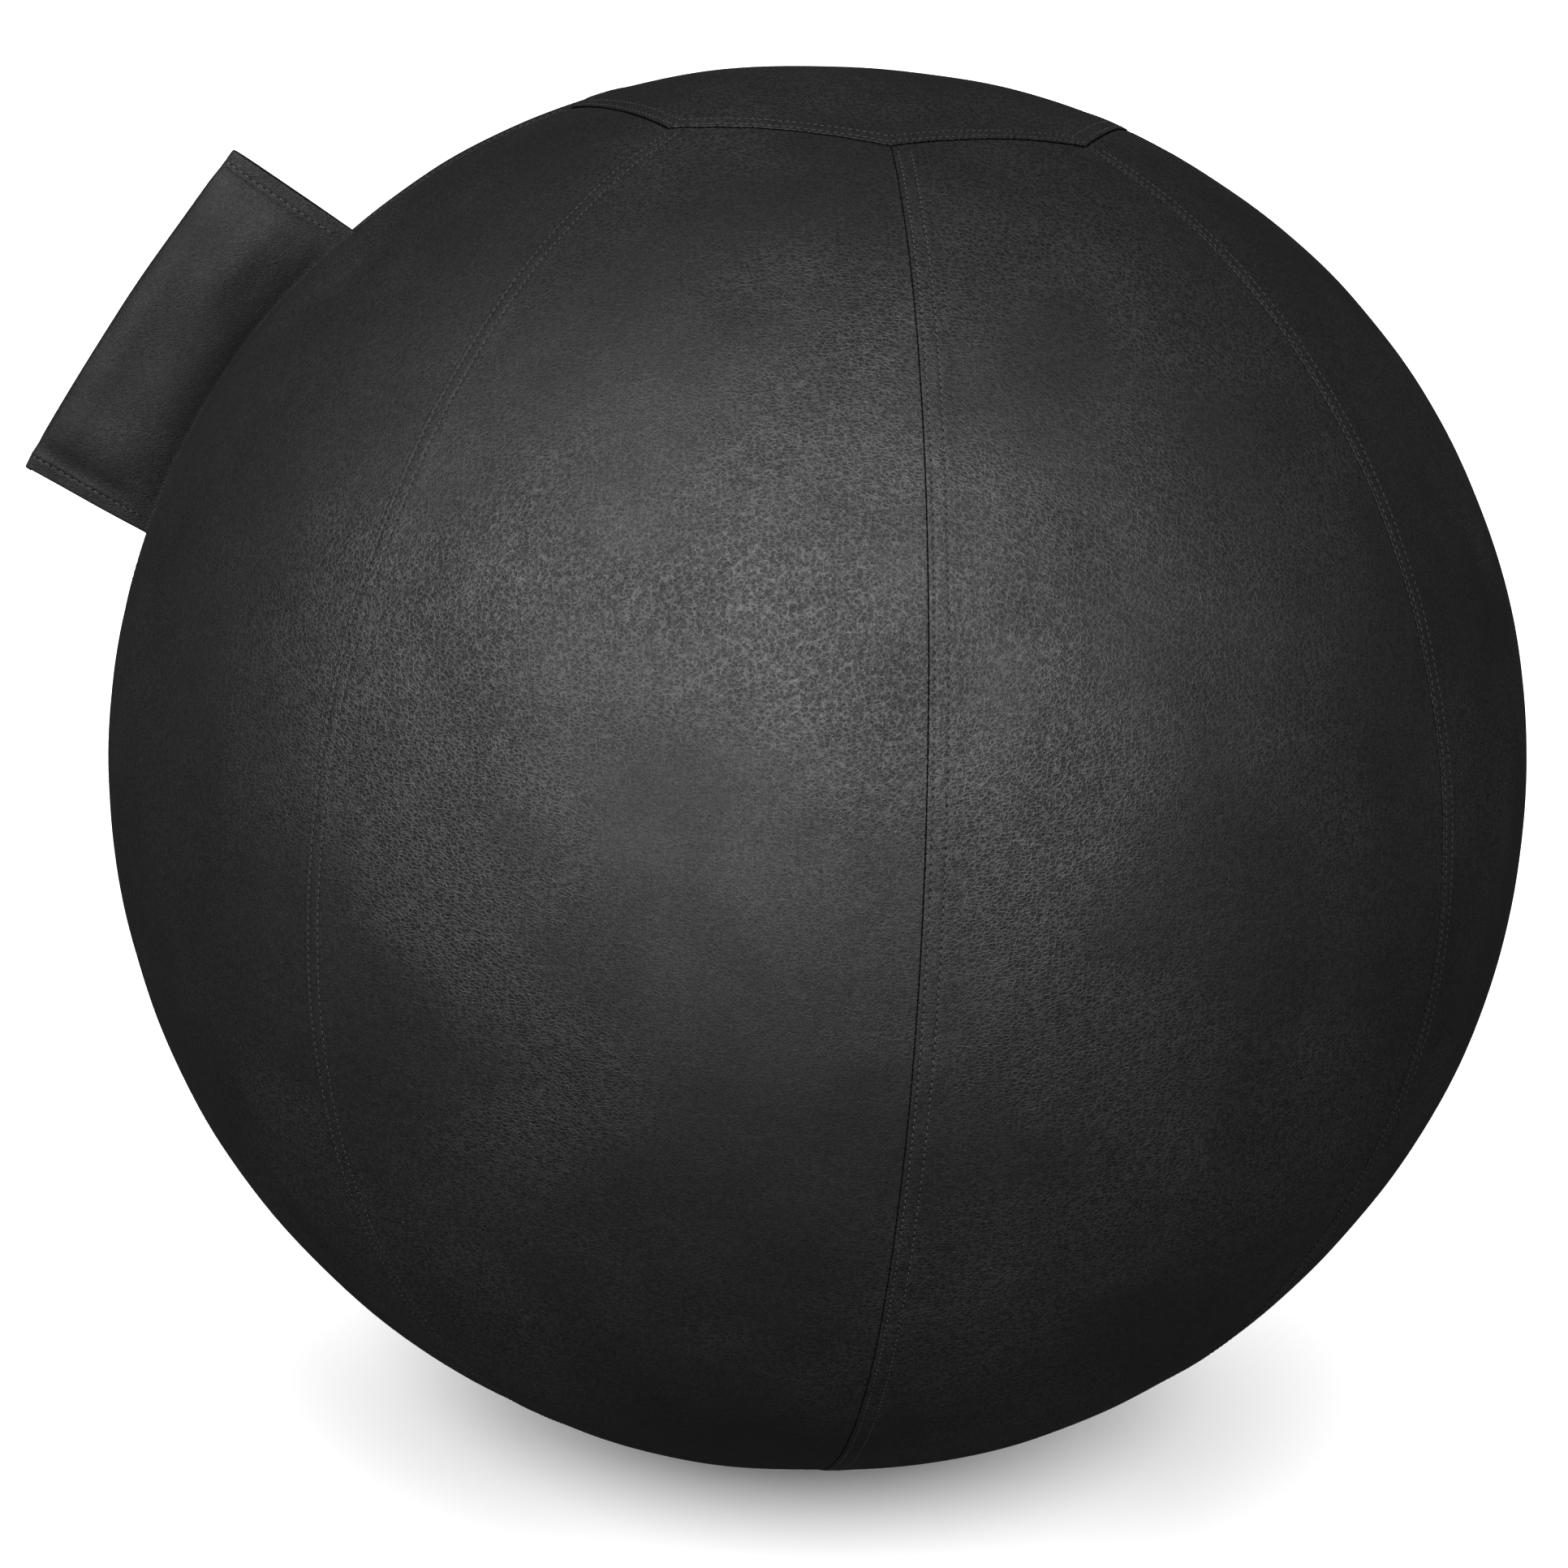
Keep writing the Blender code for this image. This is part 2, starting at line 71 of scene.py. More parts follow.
# The ball, as the CAD has it
MM = 0.001
CENTRE = Vector(joints["zip_travel"]["pos_m"])
BALL_RADIUS = round(cad_box[1][0], 3)
CROWN_DIP = 6.0 * MM
CROWN_SPREAD = 26.0
PANEL_COUNT = 8
PANEL_ANGLE = 360.0 / PANEL_COUNT
CROWN_CORNER = 22.7
BASE_SEAM = 24.5
ZIP_START = -10.0
ZIP_END = 190.0
ZIP_HALF_OPENING = 5.5 * MM
ZIP_TAPER_OUTSIDE = 4.0         # the opening narrows to a seam over these angles at each end
ZIP_TAPER_INSIDE = 2.0

# Handle
HANDLE_AZIMUTH = 180.0
HANDLE_POLAR = 57.5
HANDLE_HALF_WIDTH = 85.0 * MM
HANDLE_SLOT_HALF = 1.35 * MM
HANDLE_FLARE = 4.5 * MM
HANDLE_REACH = 375.0 * MM
HANDLE_BOW = 3.5 * MM
HANDLE_THICKNESS = 1.2 * MM
LINING_THICKNESS = 0.8 * MM
LINING_SHARE = 0.84
LEG_HALF = 1.4 * MM
LOOP_HALF = 7.5 * MM
LOOP_END_HALF = 3.0 * MM
ROOT_CLEARANCE = 1.0 * MM
HINGE_HEIGHT = 2.5 * MM
RISE_END = 0.48                 # share of the way out where the loop reaches its full depth
NOSE_START = 0.76               # share of the way out where the round fold starts
LEG_SHARE = 0.6                 # share of the grid's rows on the legs, the rest being on the fold
ROOT_TAIL = 50.0 * MM           # how far the layers would run down into the seam over a whole climb
LAYER_START = -0.1              # climb, from the root, where the strip starts inside the seam
LINING_START = 0.13
STITCH_FREE_ROWS = 8            # rows of the strip's grid at each root that carry no stitches
HEM_ROW = 6.3 * MM
HEM_WIDTH = 7.4 * MM
HEM_HEIGHT = 0.45 * MM
SWELL_FROM_END = 45.0 * MM      # middle of a swelling in the leather near the upper end
SWELL_RISE = 0.36

# Zip
TAPE_DEPTH = 2.1 * MM
TAPE_THICKNESS = 0.7 * MM
TAPE_TAIL = 6.0
TAPE_TAIL_HALF = 9.0 * MM
COIL_SPACING = 1.65 * MM
COIL_DEPTH = 0.7 * MM
COIL_RADIUS = 1.1 * MM
COIL_END = 1.5
COIL_PITCH = 1.25 * MM
COIL_WIRE = 0.32 * MM
TAPE_ROW = 3.4 * MM

# Sewing
LEATHER_THICKNESS = 1.3 * MM
SEAM_HALF_GAP = 0.05 * MM
FIRST_ROW = 2.3 * MM
SECOND_ROW = 7.6 * MM
STITCH_PITCH = 3.15 * MM
BAND_HEIGHT = 0.32 * MM
BAND_FLAT = 7.0 * MM
BAND_END = 15.0 * MM
CROWN_LIFT = 0.3 * MM
CROWN_SHADE = 0.4 * MM
HOLE_SHORTENING = 0.55          # a needle hole is longer along its row than across it
LEATHER_SPECULAR = 0.8

# Grid lines beside a topstitched edge, and beside a plain one
STITCHED_LINES = np.array([0, 0.12, 0.28, 0.5, 0.8, 1.2, 1.75, 2.3, 2.85, 3.8, 5.0, 6.2, 7.05, 7.6, 8.15, 9.2,
                           10.6, 12.5, 15.0]) * MM
PLAIN_LINES = np.array([0, 0.12, 0.28, 0.5, 0.8, 1.3, 2.2, 4.0, 7.0]) * MM


# ---------------------------------------------------------------------------------------------- surface
class Waves:
    """Smooth seeded unevenness: a sum of plane waves, about 1 high, read at points in metres."""

    def __init__(self, seed, shortest, longest, count=28):
        random = np.random.default_rng(seed)
        directions = random.normal(size=(count, 3))
        directions /= np.linalg.norm(directions, axis=1)[:, None]
        lengths = shortest * (longest / shortest) ** random.random(count)
        self.vectors = directions * (2.0 * pi / lengths)[:, None]
        self.phases = random.random(count) * 2.0 * pi
        self.scale = sqrt(2.0 / count)

    def __call__(self, points):
        return np.sin(points @ self.vectors.T + self.phases).sum(axis=-1) * self.scale


BROAD_WAVES = Waves(3, 0.11, 0.30)
SMALL_WAVES = Waves(5, 0.035, 0.09)
PUCKER_WAVES = Waves(8, 0.011, 0.022)


def directions(azimuth, polar):
    turn, tilt = np.radians(azimuth), np.radians(polar)
    return np.stack([np.sin(tilt) * np.cos(turn), np.sin(tilt) * np.sin(turn), np.cos(tilt) + 0.0 * turn], axis=-1)


def on_ball(azimuth, polar, lift=0.0, uneven=True):
    """Points at a height over the ball's skin, flat where the ball rests."""
    azimuth, polar = np.broadcast_arrays(np.asarray(azimuth, float), np.asarray(polar, float))
    way = directions(azimuth, polar)
    radius = BALL_RADIUS + lift - CROWN_DIP * np.exp(-(polar / CROWN_SPREAD) ** 2)
    if uneven:
        skin = way * BALL_RADIUS
        radius = radius + 0.35 * MM * BROAD_WAVES(skin) + 0.09 * MM * SMALL_WAVES(skin)
    points = way * radius[..., None]
    floor = -CENTRE.z - np.minimum(lift, 0.0)
    softness = 2.0 * MM
    near = np.clip(0.5 + 0.5 * (points[..., 2] - floor) / softness, 0.0, 1.0)
    points[..., 2] = floor + (points[..., 2] - floor) * near + softness * near * (1.0 - near)
    return points + np.array(CENTRE)


def arc(length):
    """Degrees along the ball for a length on its skin."""
    return np.degrees(length / BALL_RADIUS)


def crown_edge(azimuth, inset=0.0):
    """Polar angle of the top panel's edge, or of a line inset from it by a length."""
    turn = np.mod(azimuth, PANEL_ANGLE) - PANEL_ANGLE / 2.0
    middle = atan(tan(radians(CROWN_CORNER)) * cos(pi / PANEL_COUNT))
    return np.degrees(np.arctan(np.tan(np.maximum(middle - inset / BALL_RADIUS, 0.0)) / np.cos(np.radians(turn))))


def smooth_step(value, low, high):
    share = np.clip((value - low) / (high - low), 0.0, 1.0)
    return share * share * (3.0 - 2.0 * share)


def base_gap(azimuth):
    """Half the opening along the base panel's edge, as a length: wide along the zip, a seam elsewhere."""
    start = ZIP_TAPER_OUTSIDE + 1.0
    end = start + ZIP_END - ZIP_START
    turn = np.mod(azimuth - ZIP_START + start, 360.0)
    opening = smooth_step(turn, start - ZIP_TAPER_OUTSIDE, start + ZIP_TAPER_INSIDE)
    closing = smooth_step(turn, end - ZIP_TAPER_INSIDE, end + ZIP_TAPER_OUTSIDE)
    return SEAM_HALF_GAP + (ZIP_HALF_OPENING - SEAM_HALF_GAP) * opening * (1.0 - closing)


def seam_gap(azimuth, polar):
    """Half the gap of a panel seam, as a length: opened where the handle's two layers come out."""
    if round(azimuth) != round(HANDLE_AZIMUTH):
        return SEAM_HALF_GAP + 0.0 * polar
    away = np.abs(np.radians(polar - HANDLE_POLAR)) * BALL_RADIUS
    return SEAM_HALF_GAP + HANDLE_SLOT_HALF * (1.0 - smooth_step(away, HANDLE_HALF_WIDTH - 2.0 * MM,
                                                                 HANDLE_HALF_WIDTH + 12.0 * MM))


def rolled_edge(distance, radius):
    """How far the leather drops as it turns down into a seam."""
    rest = np.clip(radius - distance, 0.0, radius)
    return radius - np.sqrt(radius ** 2 - rest ** 2)


def stitched_band(distance):
    """Height of the band that lies over the seam allowances, with a groove under each row of stitches."""
    band = BAND_HEIGHT * (1.0 - smooth_step(distance, BAND_FLAT, BAND_END))
    grooves = sum(np.exp(-((distance - row) / (0.55 * MM)) ** 2) for row in (FIRST_ROW, SECOND_ROW))
    middle = (FIRST_ROW + SECOND_ROW) / 2.0
    puff = np.exp(-((distance - middle) / (1.9 * MM)) ** 2)
    return band - 0.13 * MM * grooves + 0.05 * MM * puff


def rows_side(azimuth):
    """The side of a panel seam that its rows of stitches lie on: 1 to the right, -1 to the left at the handle."""
    return -1 if round(azimuth) == round(HANDLE_AZIMUTH) else 1


def seam_pucker(distance, points):
    """Short ripples where the thread gathers the leather."""
    reach = np.exp(-(np.abs(distance - 4.0 * MM) / (7.0 * MM)) ** 2)
    return 0.07 * MM * PUCKER_WAVES(points) * reach


# ---------------------------------------------------------------------------------------------- meshes
def grid_faces(rows, columns, wrap=False):
    index = np.arange(rows * columns).reshape(rows, columns)
    if wrap:
        index = np.concatenate([index, index[:, :1]], axis=1)
    return np.stack([index[:-1, :-1], index[1:, :-1], index[1:, 1:], index[:-1, 1:]], axis=-1).reshape(-1, 4)


def add_mesh(name, points, faces, material, body, seam=None, edge=None):
    """A mesh piece.  Its seam map holds the distance from the stitched edge and the stitch count along it, and its
    edge map the same for the nearest edge of any kind."""
    mesh = bpy.data.meshes.new(name)
    mesh.from_pydata(points.reshape(-1, 3), [], faces)
    corner = np.zeros(len(mesh.loops), np.int32)
    mesh.loops.foreach_get("vertex_index", corner)
    for map_name, values in (("seam", seam), ("edge", edge)):
        if values is not None:
            layer = mesh.uv_layers.new(name=map_name)
            pairs = np.stack(np.broadcast_arrays(*values), axis=-1).reshape(-1, 2)
            layer.data.foreach_set("uv", pairs[corner].astype(np.float32).ravel())
    mesh.shade_smooth()
    mesh.materials.append(material)
    piece = bpy.data.objects.new(name, mesh)
    bpy.context.scene.collection.objects.link(piece)
    if body:
        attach(piece, body)
    return piece


def shell_faces(rows, columns):
    """Faces of a closed shell: an outer grid, an inner one after it in the list, and the four edges between."""
    outer = grid_faces(rows, columns)
    inner = outer[:, ::-1] + rows * columns
    index = np.arange(rows * columns).reshape(rows, columns)
    rim = np.concatenate([index[0, :-1], index[:-1, -1], index[-1, :0:-1], index[:0:-1, 0]])
    following = np.roll(rim, -1)
    edges = np.stack([rim, following, following + rows * columns, rim + rows * columns], axis=-1)
    return np.concatenate([outer, inner, edges])


def thicken(piece, thickness):
    solidify = piece.modifiers.new("Thickness", "SOLIDIFY")
    solidify.thickness = thickness
    solidify.offset = -1.0


def spread_lines(start_lines, end_lines, middle):
    """Lines across a span, as fixed parts and shares of its width: set ones by each edge, even ones between."""
    share = np.linspace(0.0, 1.0, middle + 2)[1:-1]
    fixed = np.concatenate([start_lines, start_lines[-1] * (1.0 - share) - end_lines[-1] * share, -end_lines[::-1]])
    shares = np.concatenate([0.0 * start_lines, share, 1.0 + 0.0 * end_lines])
    return fixed, shares


# ---------------------------------------------------------------------------------------------- shader tools
class Shader:
    """A material, with short calls for its nodes.  Each call takes numbers or sockets and returns a socket."""

    def __init__(self, name, **constants):
        self.material = bpy.data.materials.new(name)
        self.material.use_nodes = True
        self.tree = self.material.node_tree
        self.surface = self.tree.nodes["Principled BSDF"]
        for socket, value in constants.items():
            self.surface.inputs[socket.replace("_", " ")].default_value = value

    def put(self, socket, value):
        if isinstance(value, bpy.types.NodeSocket):
            self.tree.links.new(value, socket)
        elif value is not None:
            socket.default_value = value

    def node(self, kind, output=0, settings=None, **inputs):
        made = self.tree.nodes.new(kind)
        for key, value in (settings or {}).items():
            setattr(made, key, value)
        for key, value in inputs.items():
            self.put(made.inputs[key.replace("_", " ")], value)
        return made.outputs[output]

    def math(self, operation, first, second=0.0, third=0.0):
        made = self.tree.nodes.new("ShaderNodeMath")
        made.operation = operation
        for socket, value in zip(made.inputs, (first, second, third)):
            self.put(socket, value)
        return made.outputs[0]

    def ramp(self, value, low, high, to_low=0.0, to_high=1.0):
        """A smooth step from to_low to to_high as the value goes from low to high."""
        return self.node("ShaderNodeMapRange", settings={"interpolation_type": "SMOOTHSTEP"}, Value=value,
                         From_Min=low, From_Max=high, To_Min=to_low, To_Max=to_high)

    def scaled(self, vector, scale):
        made = self.tree.nodes.new("ShaderNodeVectorMath")
        made.operation = "MULTIPLY"
        self.put(made.inputs[0], vector)
        made.inputs[1].default_value = scale
        return made.outputs[0]

    def added(self, first, second):
        made = self.tree.nodes.new("ShaderNodeVectorMath")
        made.operation = "ADD"
        self.put(made.inputs[0], first)
        self.put(made.inputs[1], second)
        return made.outputs[0]

    def noise(self, vector, size, detail=2.0, output=0, roughness=0.5):
        return self.node("ShaderNodeTexNoise", output, Vector=vector, Scale=1.0 / size, Detail=detail,
                         Roughness=roughness)

    def cells(self, vector, size, output=0):
        """Distance from each cell's middle, or its random colour as output 1."""
        return self.node("ShaderNodeTexVoronoi", output, Vector=vector, Scale=1.0 / size, Randomness=0.9)

    def cell_edges(self, vector, size):
        """Distance from the nearest cell edge, as a share of the cell size."""
        return self.node("ShaderNodeTexVoronoi", 0, {"feature": "DISTANCE_TO_EDGE"}, Vector=vector, Scale=1.0 / size,
                         Randomness=0.9)

    def tint(self, colour, value):
        """A colour multiplied by a value."""
        made = self.tree.nodes.new("ShaderNodeVectorMath")
        made.operation = "SCALE"
        made.inputs[0].default_value = colour
        self.put(made.inputs["Scale"], value)
        return made.outputs[0]

    def bump(self, height, distance):
        self.set("Normal", self.node("ShaderNodeBump", Height=height, Distance=distance, Strength=1.0))

    def set(self, socket, value):
        self.put(self.surface.inputs[socket], value)


# ---------------------------------------------------------------------------------------------- leather
def read_map(shader, name):
    place = shader.node("ShaderNodeSeparateXYZ", Vector=shader.node("ShaderNodeUVMap", settings={"uv_map": name}))
    return place, place.node.outputs[1]


def needle_holes(shader, rows):
    """1 in the holes between the stitches of the rows: a mask that sinks the leather there and darkens it with
    painted shade.
    """
    distance, phase = read_map(shader, "seam")
    along = shader.math("MULTIPLY", shader.math("PINGPONG", phase, 0.5), STITCH_PITCH * HOLE_SHORTENING)
    along = shader.math("MULTIPLY", along, along)
    holes = 0.0
    for row in rows:
        across = shader.math("SUBTRACT", distance, row)
        reach = shader.math("SQRT", shader.math("MULTIPLY_ADD", across, across, along))
        hole = shader.ramp(reach, 0.2 * MM, 0.5 * MM, 1.0, 0.0)
        holes = shader.math("MAXIMUM", hole, holes)
    return holes


def seam_shade(shader):
    """Tone beside a seam: dark in the slit, which the seam's own stitches pull wider and narrower."""
    distance, phase = read_map(shader, "edge")
    pinch = shader.math("COSINE", shader.math("MULTIPLY", phase, 2.0 * pi))
    distance = shader.math("MULTIPLY_ADD", pinch, 0.1 * MM, distance)
    return shader.ramp(distance, 0.0, 0.4 * MM, 0.35, 1.0)


def leather(name, colour, roughness, cell=1.2 * MM, vein_light=0.95, gloss=0.72, relief=0.12 * MM, rows=()):
    """Pebbled faux leather: raised light veins round darker cells of two sizes, strong in some areas and faint
    in others, with a few longer ridges and a fine grit."""
    shader = Shader(name, Specular_IOR_Level=LEATHER_SPECULAR)
    place = shader.node("ShaderNodeTexCoord", "Object")
    wobble = shader.noise(place, 1.3 * MM, 1.0, output=1)
    drift = shader.noise(place, 9.0 * MM, 1.0, output=1)
    warped = shader.added(shader.added(place, shader.scaled(wobble, (0.6 * MM,) * 3)),
                          shader.scaled(drift, (2.0 * MM,) * 3))

    pull = shader.ramp(shader.noise(place, 115.0 * MM, 2.0), 0.36, 0.64)
    strength = shader.ramp(shader.noise(place, 130.0 * MM, 3.0), 0.28, 0.60, 0.55, 1.0)
    strength = shader.math("MULTIPLY", strength, shader.math("MULTIPLY_ADD", pull, 0.3, 0.7))
    fine = shader.ramp(shader.cell_edges(warped, cell), 0.0, 0.3, 1.0, 0.0)
    wide_cells = shader.cell_edges(shader.scaled(warped, (0.48, 0.48, 0.85)), cell)
    wide = shader.math("MULTIPLY", shader.ramp(wide_cells, 0.0, 0.24, 1.0, 0.0),
                       shader.ramp(pull, 0.0, 1.0, 0.45, 1.0))
    broken = shader.ramp(shader.noise(place, 2.2 * MM, 2.0), 0.3, 0.6, 0.45, 1.0)
    net = shader.math("MULTIPLY", shader.math("MULTIPLY_ADD", fine, 0.6, wide), strength)
    veins = shader.math("MULTIPLY", net, broken)

    ridge_field = shader.noise(shader.scaled(warped, (0.7, 0.7, 2.2)), 26.0 * MM, 2.0)
    ridges = shader.ramp(shader.math("ABSOLUTE", shader.math("SUBTRACT", ridge_field, 0.5)), 0.0, 0.012, 1.0, 0.0)
    ridges = shader.math("MULTIPLY", ridges, shader.math("MULTIPLY", strength, broken))

    cloud = shader.noise(place, 40.0 * MM, 5.0, roughness=0.6)
    grit = shader.noise(place, 0.7 * MM, 2.0, roughness=0.7)
    tone = shader.math("MULTIPLY", shader.ramp(cloud, 0.2, 0.8, 0.86, 1.14),
                       shader.ramp(grit, 0.28, 0.72, 0.78, 1.22))
    lines = shader.math("MULTIPLY_ADD", ridges, 0.2, veins)
    between = shader.math("MULTIPLY_ADD", strength, -0.48 * vein_light, 1.0)
    tone = shader.math("MULTIPLY", tone, shader.math("MULTIPLY_ADD", lines, vein_light, between))
    height = shader.math("MULTIPLY_ADD", grit, 0.6, net)
    height = shader.math("MULTIPLY_ADD", ridges, 0.6, height)
    if rows:
        holes = needle_holes(shader, rows)
        # Painted shade: the needle holes are darkened in the colour, and they are also sunk in the bump
        tone = shader.math("MULTIPLY", tone, shader.math("MULTIPLY_ADD", holes, -0.5, 1.0))
        height = shader.math("MULTIPLY_ADD", holes, -0.8, height)
    tone = shader.math("MULTIPLY", tone, seam_shade(shader))
    shader.set("Base Color", shader.tint(colour, tone))
    shader.set("Specular Tint", shader.tint((gloss, gloss, gloss), tone))
    shader.set("Roughness", shader.math("MULTIPLY_ADD", cloud, -0.1, roughness + 0.05))
    shader.bump(height, relief)
    return shader.material


def plain_cloth(name, colour, thread=0.6 * MM, roughness=0.9):
    """Woven tape or webbing: two crossed waves of threads."""
    shader = Shader(name, Specular_IOR_Level=0.25)
    place = shader.node("ShaderNodeTexCoord", "Object")
    warp = shader.node("ShaderNodeTexWave", 1, {"bands_direction": "DIAGONAL"}, Vector=place, Scale=0.5 / thread,
                       Distortion=0.3)
    weft = shader.node("ShaderNodeTexWave", 1, {"bands_direction": "Z"}, Vector=place, Scale=0.5 / thread,
                       Distortion=0.3)
    weave = shader.math("MULTIPLY", warp, weft)
    fuzz = shader.noise(place, 0.4 * MM, 3.0)
    tone = shader.math("MULTIPLY", shader.ramp(weave, 0.0, 1.0, 0.6, 1.3), shader.ramp(fuzz, 0.3, 0.7, 0.8, 1.2))
    shader.set("Base Color", shader.tint(colour, tone))
    shader.set("Roughness", shader.ramp(fuzz, 0.2, 0.8, roughness - 0.08, min(1.0, roughness + 0.08)))
    shader.bump(weave, 0.15 * MM)
    return shader.material


def moulded(name, colour, roughness, metallic=0.0, grain=0.5 * MM, relief=0.03 * MM):
    """Moulded plastic or plated metal, with a faint grain and uneven gloss."""
    shader = Shader(name, Metallic=metallic)
    place = shader.node("ShaderNodeTexCoord", "Object")
    speckle = shader.noise(place, grain, 3.0)
    smear = shader.noise(place, 12.0 * MM, 3.0)
    shader.set("Base Color", shader.tint(colour, shader.ramp(smear, 0.3, 0.7, 0.9, 1.1)))
    shader.set("Roughness", shader.ramp(smear, 0.3, 0.7, roughness - 0.06, roughness + 0.08))
    shader.bump(speckle, relief)
    return shader.material


def granulate(name, colour):
    """Loose grains seen as packed cells."""
    shader = Shader(name, Roughness=0.9)
    place = shader.node("ShaderNodeTexCoord", "Object")
    grains = shader.cells(place, 1.8 * MM, 1)
    depth = shader.math("SUBTRACT", 1.0, shader.cells(place, 1.8 * MM))
    level = shader.node("ShaderNodeSeparateColor", Color=grains)
    shader.set("Base Color", shader.tint(colour, shader.ramp(level, 0.0, 1.0, 0.5, 1.5)))
    shader.bump(depth, 0.6 * MM)
    return shader.material


def thread_material(name, colour):
    """Twisted polyester thread."""
    shader = Shader(name, Specular_IOR_Level=1.0)
    place = shader.node("ShaderNodeTexCoord", "Object")
    twist = shader.node("ShaderNodeTexWave", 1, {"bands_direction": "DIAGONAL"}, Vector=place,
                        Scale=0.5 / (0.45 * MM))
    shader.set("Base Color", shader.tint(colour, shader.ramp(twist, 0.0, 1.0, 0.75, 1.25)))
    shader.set("Roughness", shader.ramp(twist, 0.0, 1.0, 0.48, 0.56))
    shader.bump(twist, 0.05 * MM)
    return shader.material


COVER_LEATHER = leather("cover_leather", (0.0125, 0.0125, 0.0126), 0.52, rows=(FIRST_ROW, SECOND_ROW))
HANDLE_LEATHER = leather("handle_leather", (0.011, 0.011, 0.0111), 0.6, cell=0.95 * MM, vein_light=0.6, gloss=0.47,
                         relief=0.13 * MM, rows=(HEM_ROW,))
BASE_FABRIC = leather("base_grip", (0.010, 0.010, 0.010), 0.75, cell=0.8 * MM, vein_light=0.25, gloss=0.4,
                      rows=(TAPE_ROW,))
THREAD = thread_material("sewing_thread", (0.045, 0.045, 0.0452))
TAPE_CLOTH = plain_cloth("zip_tape_cloth", (0.012, 0.012, 0.012))
WEBBING = plain_cloth("webbing_cloth", (0.016, 0.016, 0.017), 0.9 * MM)
NYLON = moulded("coil_nylon", (0.02, 0.02, 0.02), 0.4)
GUNMETAL = moulded("gunmetal_plating", (0.09, 0.09, 0.095), 0.35, metallic=1.0)
PVC = moulded("bladder_pvc", (0.16, 0.17, 0.18), 0.45, grain=2.0 * MM, relief=0.1 * MM)
PLUG = moulded("plug_plastic", (0.72, 0.72, 0.70), 0.4)
GRAINS = granulate("weight_grains", (0.1, 0.09, 0.08))


# ---------------------------------------------------------------------------------------------- cover
def side_panel_grid(start):
    """Azimuth, polar and the distances to the left, right, top and bottom edges, for one gore."""
    left_lines = STITCHED_LINES if rows_side(start) > 0 else PLAIN_LINES
    right_lines = STITCHED_LINES if rows_side(start + PANEL_ANGLE) < 0 else PLAIN_LINES
    fixed_over, shares_over = spread_lines(left_lines, right_lines, 36)
    fixed_down, shares_down = spread_lines(PLAIN_LINES, PLAIN_LINES, 150)
    azimuth = np.repeat(start + PANEL_ANGLE * shares_over[None, :], len(fixed_down), axis=0)
    for _ in range(8):          # the gaps depend on the place and the place on the gaps, so they settle in turns
        inside = np.clip(azimuth, start + 1e-6, start + PANEL_ANGLE - 1e-6)
        top = crown_edge(inside) + arc(SEAM_HALF_GAP)
        length = np.radians(180.0 - BASE_SEAM - top) * BALL_RADIUS - base_gap(azimuth)
        down = fixed_down[:, None] + shares_down[:, None] * length
        polar = top + arc(down)
        ring = BALL_RADIUS * np.sin(np.radians(polar))
        left_gap, right_gap = seam_gap(start, polar), seam_gap(start + PANEL_ANGLE, polar)
        width = radians(PANEL_ANGLE) * ring - left_gap - right_gap
        over = fixed_over + shares_over * width
        azimuth = start + np.degrees((over + left_gap) / ring)
    return azimuth, polar, over, width - over, down, length - down


def panel_pillow(share):
    """A gore stands a little proud along its middle and is drawn in at its seams."""
    return 0.5 * MM * (np.sin(pi * share) - 0.6)


def panel_phase(polar):
    """Stitches along a panel seam, counted from the top."""
    return np.radians(polar) * BALL_RADIUS / STITCH_PITCH


def crown_phase(azimuth):
    """Stitches round the top panel's edge, a whole number in all."""
    turn = np.linspace(0.0, PANEL_ANGLE, 200)
    edge = on_ball(turn, crown_edge(np.clip(turn, 1e-6, PANEL_ANGLE - 1e-6)), uneven=False)
    length = np.concatenate([[0.0], np.cumsum(np.linalg.norm(np.diff(edge, axis=0), axis=1))])
    count = round(length[-1] / STITCH_PITCH)
    sides = np.floor(azimuth / PANEL_ANGLE)
    return count * (sides + np.interp(azimuth - sides * PANEL_ANGLE, turn, length / length[-1]))


def make_side_panel(number):
    start = PANEL_ANGLE * number
    azimuth, polar, left, right, top, bottom = side_panel_grid(start)
    skin = directions(azimuth, polar) * BALL_RADIUS
    stitched = np.full(left.shape, left.max())
    if rows_side(start) > 0:
        stitched = np.minimum(stitched, left)
    if rows_side(start + PANEL_ANGLE) < 0:
        stitched = np.minimum(stitched, right)
    lift = (panel_pillow(left / (left + right)) + stitched_band(stitched)
            + seam_pucker(left, skin) + 0.5 * seam_pucker(right, skin)
            - rolled_edge(left, 0.5 * MM) - rolled_edge(right, 0.35 * MM)
            - rolled_edge(top, 1.0 * MM) - rolled_edge(bottom, 0.8 * MM))
    points = on_ball(azimuth, polar, lift)
    sides, ends = np.minimum(left, right), np.minimum(np.abs(top - CROWN_SHADE), bottom)
    edge_phase = np.where(sides < ends, panel_phase(polar), crown_phase(azimuth))
    name = f"side_panel_{number + 1}"
    piece = add_mesh("leather_" + name, points, grid_faces(*azimuth.shape), COVER_LEATHER, "ball",
                     (stitched, panel_phase(polar)), (np.minimum(sides, ends), edge_phase))
    thicken(piece, LEATHER_THICKNESS)
    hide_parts(name)


def finish_round_panel(piece):
    """Joins the first column to the last and closes the middle, and gives the leather its thickness."""
    shape = bmesh.new()
    shape.from_mesh(piece.data)
    bmesh.ops.remove_doubles(shape, verts=shape.verts, dist=1e-6)
    bmesh.ops.recalc_face_normals(shape, faces=shape.faces)
    shape.to_mesh(piece.data)
    shape.free()
    thicken(piece, LEATHER_THICKNESS)


